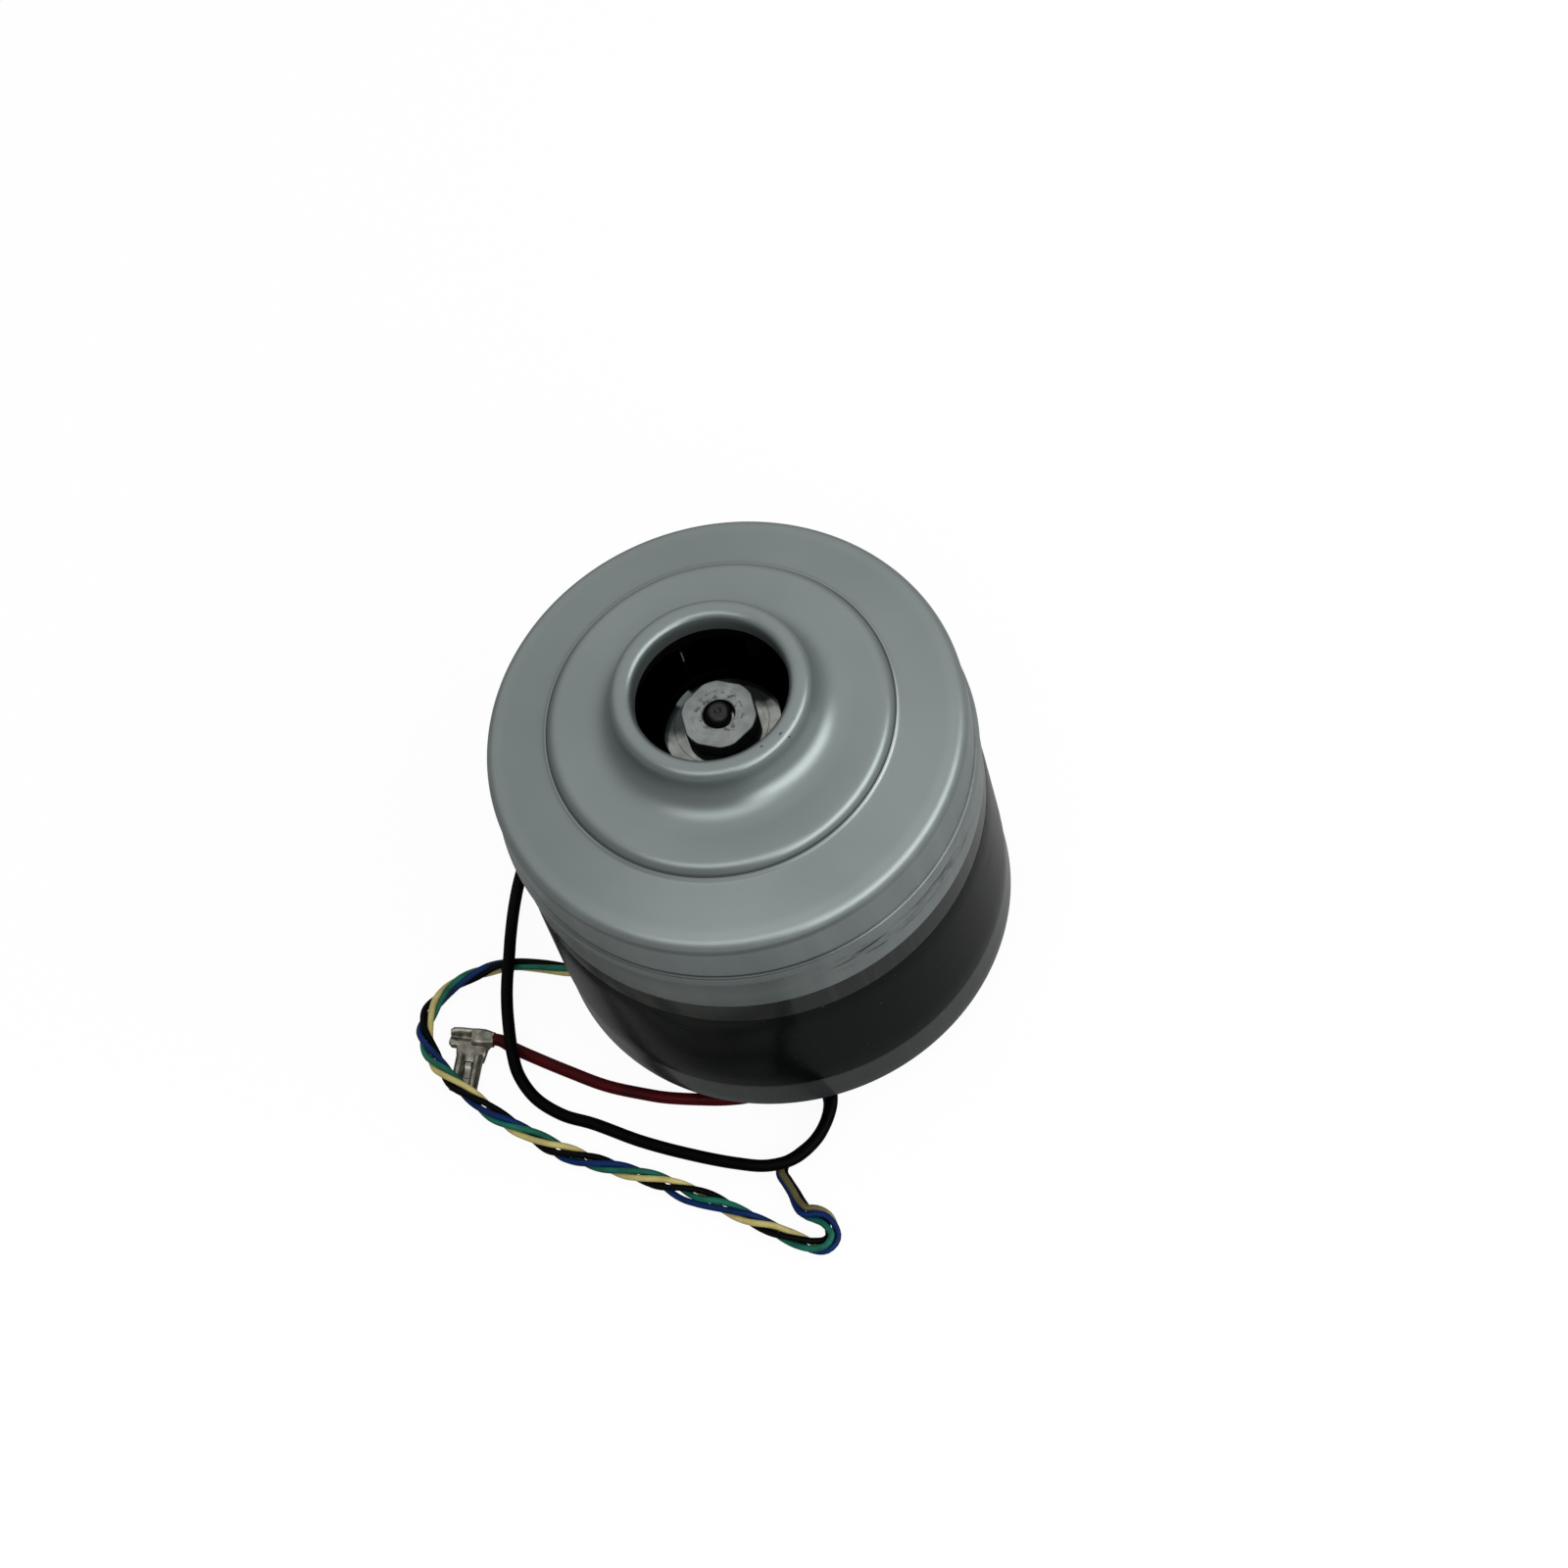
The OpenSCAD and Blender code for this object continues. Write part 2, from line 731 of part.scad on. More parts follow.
module board_screws() {
    color("silver")
        around(post_n, post_turn)
            translate([post_pcd_r, 0, z_board_top]) {
                cylinder(r = board_screw_head_r, h = board_screw_head_h);
                translate([0, 0, -board_t - board_screw_l + eps])
                    cylinder(r = board_screw_r, h = board_t + board_screw_l);
            }
}

module lead_grommet() {
    color("black") {
        translate([0, 0, z_exit])
            linear_extrude(grommet_flange_t)
                grommet_outline(grommet_flange);
        translate([0, 0, z_exit])
            linear_extrude(plate_t + 2 * grommet_flange_t)
                grommet_outline(0);
        translate([0, 0, z_plate_top])
            linear_extrude(grommet_flange_t)
                grommet_outline(grommet_flange);
    }
}

module black_lead() {
    color("black")
        lead(black_route, lead_r);
}

module red_lead() {
    color("darkred")
        lead(red_route, red_r);
}

module signal_bundle() {
    color("teal")
        lead(bundle_route, bundle_r);
}

// Flag terminal: crimp barrel along +X from the lead's end, folded tail behind it, blade socket to one side
module flag_terminal(route, side) {
    last = len(route) - 1;
    way = ahead(route, last);
    z_flag = crimp_dip - crimp_r;
    translate(route[last])
        rotate(atan2(way[1], way[0])) {
            rotate([0, 90, 0])
                cylinder(r = crimp_r, h = crimp_l);
            translate([flag_in, side * (flag_l / 2 - flag_back) - flag_l / 2, z_flag])
                cube([flag_w, flag_l, flag_t]);
            translate([crimp_l - eps, side * (tail_w / 2 - flag_back) - tail_w / 2, z_flag])
                cube([tail_l - crimp_l, tail_w, tail_h]);
            for (edge = [flag_roll_r, flag_w - flag_roll_r])
                translate([flag_in + edge, side * flag_neck_l, flag_roll_r - crimp_r])
                    rotate([-90 * side, 0, 0])
                        cylinder(r = flag_roll_r, h = flag_l - flag_back - flag_neck_l);
        }
}

module red_terminal() {
    color("lightgray")
        flag_terminal(red_route, 1);
}

module black_terminal() {
    color("lightgray")
        flag_terminal(black_route, -1);
}

module signal_connector() {
    last = len(bundle_route) - 1;
    way = ahead(bundle_route, last);
    pitch = plug_w / plug_ways;
    color("white")
        translate([bundle_route[last][0], bundle_route[last][1], 0])
            rotate(atan2(way[1], way[0]))
                difference() {
                    translate([0, -plug_w / 2, fit])
                        cube([plug_l, plug_w, plug_h]);
                    for (k = [0 : plug_ways - 1])
                        translate([plug_l / 2, (k - (plug_ways - 1) / 2) * pitch - plug_way / 2,
                                plug_h / 2 - plug_way / 2])
                            cube([plug_l, plug_way, plug_way]);
                }
}

module rotor_shaft() {
    color("silver") {
        translate([0, 0, z_shaft_low])
            cylinder(r = shaft_r, h = z_hub - z_shaft_low);
        translate([0, 0, z_hub - eps])
            cylinder(r = stub_r, h = z_stub - z_hub + eps);
    }
}

module rotor_core() {
    color("slategray")
        tube(rotor_core_r, shaft_r + seat, z_magnet, magnet_h);
}

module rotor_magnets() {
    color("dimgray")
        tube(magnet_r, rotor_core_r + seat, z_magnet, magnet_h);
}

module impeller_spacer() {
    color("silver")
        tube(shaft_r + spacer_t, shaft_r + seat, z_front_top, z_back - z_front_top);
}

module impeller_back_disc() {
    color("lightgray")
        rotate_extrude()
            polygon([[shaft_r + seat, z_back], [impeller_r, z_back], [impeller_r, z_back_top],
                [vane_in_r - vane_foot_gap, z_back_top], [hub_top_r + hub_foot_w, z_back_top + hub_h * 0.26],
                [hub_top_r + hub_waist_w, z_back_top + hub_h * 0.74], [hub_top_r, z_hub],
                [shaft_r + seat, z_hub]]);
}

module vane_strip() {
    intersection() {
        difference() {
            translate([0, -vane_bend_r])
                circle(vane_bend_r + vane_t);
            translate([0, -vane_bend_r])
                circle(vane_bend_r);
            translate([-2 * casing_r, -casing_r])
                square([2 * casing_r, 2 * casing_r]);
        }
        difference() {
            circle(impeller_r - vane_inset);
            circle(vane_in_r);
        }
    }
}

module impeller_vanes() {
    slack = seat;
    color("lightgray")
        intersection() {
            around(vane_n)
                translate([0, 0, z_back_top])
                    linear_extrude(z_collar - z_back_top)
                        vane_strip();
            rotate_extrude()
                polygon([[0, z_back_top], [impeller_r, z_back_top],
                    [impeller_r, z_tip - front_disc_t - slack],
                    [front_knee_r, z_knee - front_disc_t - slack],
                    [0, z_knee - front_disc_t - slack]]);
        }
}

module impeller_front_disc() {
    color("lightgray")
        rotate_extrude()
            polygon([[impeller_r, z_tip - front_disc_t], [impeller_r, z_tip], [front_knee_r, z_knee],
                [collar_r + collar_t, z_knee + collar_foot], [collar_r + collar_t, z_collar],
                [collar_r, z_collar], [collar_r, z_knee + collar_foot - front_disc_t],
                [front_knee_r, z_knee - front_disc_t]]);
}

module clamp_washer() {
    color("silver")
        tube(washer_r, stub_r + fit, z_hub, washer_t);
}

module impeller_nut() {
    chamfer = 0.5;
    color("silver")
        intersection() {
            rotate_extrude()
                difference() {
                    polygon([[stub_r + fit, z_washer], [nut_r, z_washer], [nut_r, z_nut - chamfer],
                        [nut_r - chamfer, z_nut], [stub_r + fit, z_nut]]);
                    translate([0, z_nut - nut_recess_h])
                        square([nut_recess_r, nut_recess_h + eps]);
                }
            translate([0, 0, z_washer])
                rotate(nut_turn)
                    cylinder(r = nut_flat / cos(30), h = nut_h, $fn = 6);
        }
}

fan_cover();
fan_shell();
inlet_seal();
diffuser();
front_bracket();
bracket_screws();
motor_can();
can_wrap();
end_plate();
rear_mount();
front_bearing_outer();
front_bearing_balls();
rear_bearing_outer();
rear_bearing_balls();
preload_washer();
stator_core();
coil_bobbins();
stator_coils();
driver_board();
board_capacitors();
power_transistors();
board_screws();
lead_grommet();
black_lead();
red_lead();
signal_bundle();
red_terminal();
black_terminal();
signal_connector();
rotor_shaft();
rotor_core();
rotor_magnets();
front_bearing_inner();
rear_bearing_inner();
impeller_spacer();
impeller_back_disc();
impeller_vanes();
impeller_front_disc();
clamp_washer();
impeller_nut();
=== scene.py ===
import math
from functools import cached_property

import bmesh
import bpy
from mathutils import Matrix, Vector, noise


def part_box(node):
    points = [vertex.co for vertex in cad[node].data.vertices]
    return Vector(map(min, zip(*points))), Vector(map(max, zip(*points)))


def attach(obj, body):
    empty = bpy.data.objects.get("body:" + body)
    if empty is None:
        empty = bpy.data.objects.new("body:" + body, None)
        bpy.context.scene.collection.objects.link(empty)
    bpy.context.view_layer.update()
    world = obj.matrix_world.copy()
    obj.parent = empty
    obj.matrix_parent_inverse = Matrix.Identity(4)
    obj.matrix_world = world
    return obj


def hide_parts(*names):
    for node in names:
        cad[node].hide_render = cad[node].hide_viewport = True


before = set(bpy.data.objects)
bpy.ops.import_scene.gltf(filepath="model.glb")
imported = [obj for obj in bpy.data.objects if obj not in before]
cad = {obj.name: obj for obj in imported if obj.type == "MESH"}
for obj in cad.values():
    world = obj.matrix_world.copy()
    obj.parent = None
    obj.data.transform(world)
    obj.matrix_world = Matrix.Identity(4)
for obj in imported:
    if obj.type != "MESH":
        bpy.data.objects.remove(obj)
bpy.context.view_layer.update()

# Lengths below are in millimetres, as in the part's source, and turn into metres through MM.
MM = 0.001
SHEET = 1.2
CASING_R = 60.0
EYE_R = 19.3
LIP_BEAD_R = 2.8
LIP_C_R = EYE_R + LIP_BEAD_R
LIP_OUT_R = EYE_R + 2 * LIP_BEAD_R
LIP_FILLET = 9.0
FLAT_R = LIP_OUT_R + LIP_FILLET
STEP_R = 43.2
STEP_EDGE = 3.5
SLOPE = math.radians(20)
CORNER = 3.6
Z_RIM, Z_CAN, Z_SKIRT, Z_SHELL = 8.0, 68.0, 83.3, 86.0
Z_CREASE, Z_STEP, Z_CREST = 107.0, 110.0, 123.5
Z_LIP_C = Z_CREST - LIP_BEAD_R
Z_LIP_LOW = Z_LIP_C - 3.6
CORNER_C_R = CASING_R - CORNER
Z_CORNER = Z_CREASE - (CORNER_C_R - STEP_R) * math.tan(SLOPE) - CORNER / math.cos(SLOPE)
CAN_R = 59.5
WRAP_IN, WRAP_OUT = 59.52, 59.8
Z_WRAP_LOW, Z_WRAP_TOP = 19.7, 59.2
Z_EXIT = 18.2
Z_BACK_TOP, Z_HUB, Z_WASHER, Z_NUT, Z_STUB = 93.4, 103.2, 104.7, 109.3, 110.8
NUT_R, NUT_FLAT, NUT_TURN = 9.5, 9.05, -33.0
RECESS_R, RECESS_H = 4.0, 2.2
STUB_R = 2.77

BLACK_ROUTE = [
    (-3.5, -43, Z_EXIT), (-3.5, -43.5, 14), (-3.6, -46, 9.8), (-4, -50.3, 6.9), (-4.8, -54.5, 6.1),
    (-6.1, -59.8, 5.9), (-9.2, -64.7, 5.9), (-13.6, -68.7, 5.9), (-19.9, -71.2, 5.9), (-26.7, -70.6, 5.9),
    (-34.2, -66.7, 5.2), (-45.2, -58.9, 3.4), (-55.9, -50.3, 1.9), (-66.1, -41.1, 1.65),
    (-73.2, -35.6, 1.65),
    (-78.6, -28.6, 2.2), (-80.8, -21.5, 3.9), (-80.6, -15.7, 5.1), (-79.6, -8.6, 5.1), (-78.2, -1.5, 5),
    (-76.5, 4.4, 5.3), (-73.8, 11.5, 5.95), (-72, 16.7, 5.9), (-68.7, 26.1, 4.2), (-65.3, 34.2, 2.4),
    (-59.5, 44, 1.7), (-51, 53.5, 1.65), (-41, 61, 1.65), (-30, 66.5, 1.65), (-18, 70, 2.2)]
RED_ROUTE = [
    (-15.5, -43, Z_EXIT), (-15.6, -43.6, 13.5), (-17, -45.6, 8.2), (-20, -47.8, 4.2), (-25, -48.6, 2.1),
    (-31, -47.2, 1.65), (-37.6, -44.7, 1.65), (-46.2, -40.8, 1.65), (-50.8, -38.1, 1.65), (-59.9, -32, 1.65),
    (-68.4, -24.3, 1.65), (-74.8, -18.1, 1.65), (-80, -12.8, 1.65), (-82.9, -9.3, 1.9), (-84.7, -8.4, 2.2)]
SIGNAL_ROUTE = [
    (-9.5, -43, Z_EXIT), (-9.4, -43.8, 13.5), (-8.6, -46.3, 8), (-7.4, -50.4, 3.9), (-6.4, -54.2, 2.4),
    (-6.6, -57.8, 2.1), (-9, -62.5, 2.1), (-13.3, -66.5, 2.1), (-18.8, -68.9, 2.1), (-22.7, -70, 2.1),
    (-23.9, -72.2, 2.1), (-23.3, -75.3, 2.1), (-22.6, -78.6, 2.1), (-22.2, -82, 2.1), (-21.3, -84.6, 2.1),
    (-19.1, -86, 2.1), (-17.2, -88, 2.1), (-16.5, -91, 2.1), (-16.9, -93.8, 2.1), (-19.3, -95.1, 2.1),
    (-22.2, -94.1, 2.1), (-25.3, -91.5, 2.1), (-33.9, -82.6, 2.1), (-42.5, -73.4, 2.1),
    (-51.3, -65.4, 2.1), (-60, -58.6, 2.1), (-68.3, -52.1, 2.1), (-76.2, -45.5, 2.1), (-82.8, -38.1, 2.3),
    (-89.6, -30.5, 4.2), (-94.9, -22.5, 5.4), (-98.7, -14.9, 5), (-101, -7.5, 3), (-100.9, 0.9, 2.1),
    (-96.2, 7.3, 2.1), (-89.9, 10.7, 2.1), (-82, 11.6, 2.1), (-74.7, 10.9, 2.1), (-68.2, 8.1, 2.1),
    (-62, 4.6, 2.1), (-56, 0.5, 2.2), (-51.6, -5.6, 2.8), (-49.4, -12.6, 3)]
LEAD_R, SIGNAL_WIRE_R = 1.65, 0.85


def placed(name, data):
    """A new object in the scene."""
    piece = bpy.data.objects.new(name, data)
    bpy.context.scene.collection.objects.link(piece)
    return piece


def make_camera():
    """The photograph's camera: a long lens, above and in front, rolled a little."""
    data = bpy.data.cameras.new("photo_camera")
    data.sensor_width = 36.0
    data.lens = 112.5
    camera = placed("photo_camera", data)
    right, up, back = (0.94405, -0.28820, -0.16048), (0.32986, 0.82481, 0.45928), (0.0, -0.48643, 0.87370)
    place = (9.39 * MM, -599.61 * MM, 1142.06 * MM)
    camera.matrix_world = Matrix([[right[i], up[i], back[i], place[i]] for i in range(3)] + [[0, 0, 0, 1]])
    bpy.context.scene.camera = camera


class Wire:
    """An output socket that takes part in sums; each operation adds its Math node."""

    def __init__(self, tree, socket):
        self.tree = tree
        self.socket = socket

    def math(self, operation, *terms):
        return self.tree.node("ShaderNodeMath", {"operation": operation}, dict(enumerate(terms)))

    def __add__(self, other):
        return self.math("ADD", self, other)

    def __radd__(self, other):
        return self.math("ADD", other, self)

    def __sub__(self, other):
        return self.math("SUBTRACT", self, other)

    def __rsub__(self, other):
        return self.math("SUBTRACT", other, self)

    def __mul__(self, other):
        return self.math("MULTIPLY", self, other)

    def __rmul__(self, other):
        return self.math("MULTIPLY", other, self)

    def __truediv__(self, other):
        return self.math("DIVIDE", self, other)

    def __pow__(self, other):
        return self.math("POWER", self, other)

    def sin(self):
        return self.math("SINE", self)

    def cos(self):
        return self.math("COSINE", self)

    def floor(self):
        return self.math("FLOOR", self)


class Tree:
    """A node tree, with one method that adds any node."""

    def __init__(self, tree):
        self.tree = tree

    def node(self, kind, settings=None, inputs=None, out=0):
        """Adds a node: its settings come first, then values or wires for its sockets, by name or number."""
        made = self.tree.nodes.new(kind)
        for key, value in (settings or {}).items():
            setattr(made, key, value)
        for key, value in (inputs or {}).items():
            socket = self.find(made.inputs, key)
            if isinstance(value, Wire):
                self.tree.links.new(value.socket, socket)
            else:
                socket.default_value = value
        return Wire(self, self.find(made.outputs, out))

    @staticmethod
    def find(sockets, key):
        if isinstance(key, int):
            return sockets[key]
        for socket in sockets:
            if socket.identifier == key:
                return socket
        return sockets[key]

    def parts(self, vector):
        """The three numbers of a vector."""
        first = self.node("ShaderNodeSeparateXYZ", None, {0: vector})
        return [Wire(self, s) for s in first.socket.node.outputs]

    def vector(self, x, y, z):
        return self.node("ShaderNodeCombineXYZ", None, {0: x, 1: y, 2: z})


def shade(red, green, blue):
    """A colour as it is seen, 0 to 255, in the shader's own scale."""
    return tuple((v / 255 / 12.92 if v < 10.3 else ((v / 255 + 0.055) / 1.055) ** 2.4)
                 for v in (red, green, blue)) + (1.0,)


class Finish(Tree):
    """A material: one Principled shader and the nodes that feed it, on Object coordinates."""

    def __init__(self, name):
        self.material = bpy.data.materials.new(name)
        self.material.use_nodes = True
        super().__init__(self.material.node_tree)
        self.tree.nodes.clear()
        self.shader = self.tree.nodes.new("ShaderNodeBsdfPrincipled")
        end = self.tree.nodes.new("ShaderNodeOutputMaterial")
        self.tree.links.new(self.shader.outputs[0], end.inputs[0])
        self.place = self.node("ShaderNodeTexCoord", None, None, "Object")

    @cached_property
    def xyz(self):
        return self.parts(self.place)

    @cached_property
    def z(self):
        return self.xyz[2]

    @cached_property
    def radius(self):
        x, y, _ = self.xyz
        return (x * x + y * y) ** 0.5

    @cached_property
    def angle(self):
        x, y, _ = self.xyz
        return y.math("ARCTAN2", y, x)

    @cached_property
    def unrolled(self):
        """The casing's wall laid flat: along it and up it."""
        return self.vector(self.angle * (CASING_R * MM), self.z, 0.0)

    def put(self, body, rough, normal, metal=0.0, spec=0.5):
        """Feeds the shader and gives its material."""
        for key, value in (("Base Color", body), ("Roughness", rough), ("Normal", normal),
                           ("Metallic", metal), ("Specular IOR Level", spec)):
            if isinstance(value, Wire):
                self.tree.links.new(value.socket, self.shader.inputs[key])
            else:
                self.shader.inputs[key].default_value = value
        return self.material

    def noise(self, scale, detail=2.0, stretch=(1, 1, 1), distortion=0.0, place=None):
        """Noise over the piece, scale counts per metre; stretch draws it out along an axis."""
        place = place or self.place
        if stretch != (1, 1, 1):
            place = self.node("ShaderNodeMapping", None, {"Vector": place, "Scale": stretch})
        return self.node("ShaderNodeTexNoise", None, {"Vector": place, "Scale": scale, "Detail": detail,
                                                      "Distortion": distortion})

    def cells(self, scale, stretch=(1, 1, 1)):
        place = self.node("ShaderNodeMapping", None, {"Vector": self.place, "Scale": stretch})
        return self.node("ShaderNodeTexVoronoi", None, {"Vector": place, "Scale": scale}, "Distance")

    def rise(self, value, low, high):
        """0 below low, 1 above high, smooth between."""
        return self.node("ShaderNodeMapRange", {"interpolation_type": "SMOOTHSTEP"},
                         {"Value": value, "From Min": low, "From Max": high})

    def band(self, value, low, high, soft):
        return self.rise(value, low - soft, low + soft) * (1 - self.rise(value, high - soft, high + soft))

    def sector(self, start, end, soft):
        """1 between two angles round the shaft, in degrees."""
        return self.band(self.angle, math.radians(start), math.radians(end), math.radians(soft))

    def heights(self, low, high, soft):
        """1 between two heights, in millimetres."""
        return self.band(self.z, low * MM, high * MM, soft * MM)

    def reaches(self, low, high, soft):
        """1 between two distances from the shaft, in millimetres."""
        return self.band(self.radius, low * MM, high * MM, soft * MM)

    def above(self, low, high):
        return self.rise(self.z, low * MM, high * MM)

    def beyond(self, low, high):
        return self.rise(self.radius, low * MM, high * MM)

    def rings(self, scale, detail):
        """Noise that varies only with the distance from the shaft."""
        return self.node("ShaderNodeTexNoise", {"noise_dimensions": "1D"},
                         {"W": self.radius, "Scale": scale, "Detail": detail})

    def mix(self, amount, first, second):
        """Blends two colours, each a wire or a colour as it is seen."""
        first, second = (c if isinstance(c, Wire) else shade(*c) for c in (first, second))
        return self.node("ShaderNodeMix", {"data_type": "RGBA"},
                         {"Factor_Float": amount, "A_Color": first, "B_Color": second}, "Result_Color")

    def coats(self, body, *layers):
        """Lays colours over a body colour, each with its amount."""
        for amount, colour in layers:
            body = self.mix(amount, body, colour)
        return body

    def bump(self, height, strength, distance):
        return self.node("ShaderNodeBump", None, {"Strength": strength, "Distance": distance * MM,
                                                  "Height": height})


def zinc_sheet():
    """Pressed zinc-coated sheet: satin grey, faint clouds, draw lines and scratches on the wall, with
    painted shade and painted highlights.
    """
    f = Finish("zinc_sheet")
    cloud = f.noise(22, 4.0)
    grain = f.noise(2400, 2.0)
    dents = f.noise(120, 2.0)
    drawn = f.noise(260, 3.0, (1, 1, 0.05))
    wall = f.beyond(57.5, 59.6)
    foot = f.heights(105.6, 107.6, 0.2)
    # Painted shade: the crease at the step's foot is darkened, less at the back.
    crease = f.reaches(STEP_R - 0.05, STEP_R + 0.3, 0.12) * foot * (1 - 0.8 * f.sector(40, 112, 20))
    around = f.noise(110, 3.0, (1, 17, 1), place=f.unrolled)
    front_right = f.sector(-84, -34, 9)
    streak = f.sector(-60, -46, 3) * f.heights(78.2, 80.2, 0.5) \
        + f.sector(-82, -71, 3) * f.heights(77.2, 79, 0.5)
    scratch = f.rise(around + streak * 0.07, 0.55, 0.61) * f.heights(73.8, 80.8, 0.8) * front_right * wall
    smear = f.rise(f.noise(70, 2.0, (1, 0.12, 1), place=f.unrolled), 0.5, 0.75) * wall
    seam = f.heights(85.95, 86.5, 0.2) * wall
    front_left = f.sector(-158, -77, 12) * wall
    # Painted shade: the seam's rim is darkened on the front and left, taking its highlight away there.
    seam_front_shade = f.heights(85.3, 86.6, 0.15) * front_left
    # Painted shade: the shell below the seam is darker on the front and left.
    under = (1 - f.above(84.6, 85.4)) * front_left
    # Painted shade: a dark band on the wall just under the corner, stronger in front.
    shade_under_corner = f.heights(97.7, 99.5, 0.5) * wall
    # Painted highlight: the ridge outside the crease is lighter and smoother at the front right.
    ridge_highlight = f.reaches(STEP_R + 0.3, STEP_R + 0.85, 0.15) * foot * f.sector(-60, -10, 14)
    # Painted shade: the ridge outside the crease is darkened and roughened at the front left, hiding its
    # highlight there.
    plain = f.reaches(STEP_R + 0.3, STEP_R + 1.4, 0.2) * foot * f.sector(-146, -82, 12)
    speck = f.rise(f.noise(620, 1.0), 0.68, 0.73) * f.reaches(20, 25, 0.6) * f.sector(-78, -45, 6)
    # Painted shade: the inside of the lip is darker down in the throat.
    throat_shade = (1 - f.beyond(19.4, 20.2)) * (1 - f.above(121, 122.4))
    # Lighter, rougher band round the corner: wear, and painted sheen that widens the corner's highlight.
    wear_and_sheen = f.reaches(55.6, 60, 1.0) * f.above(95, 97)
    body = f.mix(f.rise(cloud, 0.3, 0.7), (122, 131, 130), (129, 138, 137))
    body = f.coats(body, (wall * f.rise(drawn, 0.4, 0.75) * 0.16, (104, 113, 112)),
                   (smear * 0.34, (150, 158, 157)), (wear_and_sheen * 0.1, (165, 172, 171)),
                   (crease * 0.85, (38, 42, 42)), (scratch * 0.92, (34, 38, 38)),
                   (seam * 0.35, (60, 64, 64)), (seam_front_shade * 0.6, (40, 43, 43)),
                   (under * 0.22, (40, 43, 43)), (ridge_highlight * 0.6, (208, 214, 213)),
                   (plain * 0.35, (60, 64, 64)), (shade_under_corner * 0.15 + shade_under_corner * front_left * 0.25, (40, 43, 43)),
                   (speck * 0.75, (50, 54, 54)), (throat_shade * 0.3, (52, 57, 57)))
    rough = 0.36 + (cloud - 0.5) * 0.08 + (grain - 0.5) * 0.08 + scratch * 0.15 + wear_and_sheen * 0.05 \
        - ridge_highlight * 0.14 + plain * 0.15
    height = grain * 0.14 + drawn * wall * 0.3 + dents * 1.0 - scratch * 0.8
    return f.put(body, rough, f.bump(height, 0.25, 0.1), metal=0.78, spec=0.5)


def can_steel():
    """Dark grey coating on the drawn can, lighter on its lower band."""
    f = Finish("can_steel")
    cloud = f.noise(30, 3.0)
    drawn = f.noise(600, 2.0, (1, 1, 0.04))
    grain = f.noise(3000, 1.0)
    low = 1 - f.above(18, 21)
    body = f.mix(low, (32, 35, 34), (56, 60, 60))
    body = f.coats(body, (f.rise(cloud, 0.35, 0.75) * 0.3, (34, 37, 36)),
                   (f.rise(drawn, 0.5, 0.75) * 0.15, (74, 78, 77)))
    rough = 0.16 + (cloud - 0.5) * 0.1 + (grain - 0.5) * 0.05
    return f.put(body, rough, f.bump(drawn * 0.6 + grain * 0.3, 0.1, 0.03), metal=0.25, spec=0.1)


def black_film():
    """Black film round the can: faint ripples, dust specks and fine scratches."""
    f = Finish("black_film")
    ripple = f.noise(46, 2.0, (1, 1, 0.5))
    dust = f.rise(f.noise(900, 1.0), 0.76, 0.8)
    scratch = f.rise(f.noise(260, 2.0, (0.2, 0.2, 4.0)), 0.66, 0.72)
    cloud = f.noise(18, 3.0)
    body = f.mix(dust * 0.4, (9, 11, 11), (80, 84, 84))
    body = f.mix(scratch * 0.1, body, (50, 53, 53))
    rough = 0.2 + (cloud - 0.5) * 0.1 + dust * 0.3 + scratch * 0.12
    return f.put(body, rough, f.bump(ripple, 0.06, 0.25), spec=0.035)


def insulation(name, colour, dark, sheen=0.3, darker_near_lead=0.0):
    """Wire insulation, faintly mottled; its last argument darkens it where it comes from under the lead."""
    f = Finish(name)
    cloud = f.noise(160, 3.0)
    grain = f.noise(4200, 1.0)
    body = f.mix(f.rise(cloud, 0.3, 0.75), colour, dark)
    if darker_near_lead:
        x, y, _ = f.xyz
        start = f.rise(x, -29 * MM, -25 * MM) * f.rise(y, -92 * MM, -84 * MM)
        body = f.mix(start * darker_near_lead, body, (30, 28, 24))
    rough = 0.42 + (cloud - 0.5) * 0.16 + (grain - 0.5) * 0.1
    return f.put(body, rough, f.bump(grain, 0.12, 0.03), spec=sheen)


def tinned_sheet():
    """Tin-plated terminal sheet with press marks and dull patches."""
    f = Finish("tinned_sheet")
    cloud = f.noise(420, 3.0)
    line = f.noise(1500, 2.0, (1, 0.15, 1))
    body = f.mix(f.rise(cloud, 0.35, 0.7), (134, 132, 120), (90, 88, 80))
    body = f.mix(f.rise(line, 0.55, 0.75) * 0.25, body, (84, 82, 74))
    rough = 0.22 + (cloud - 0.5) * 0.2 + (line - 0.5) * 0.08
    return f.put(body, rough, f.bump(cloud * 0.6 + line * 0.4, 0.2, 0.05), metal=0.75)


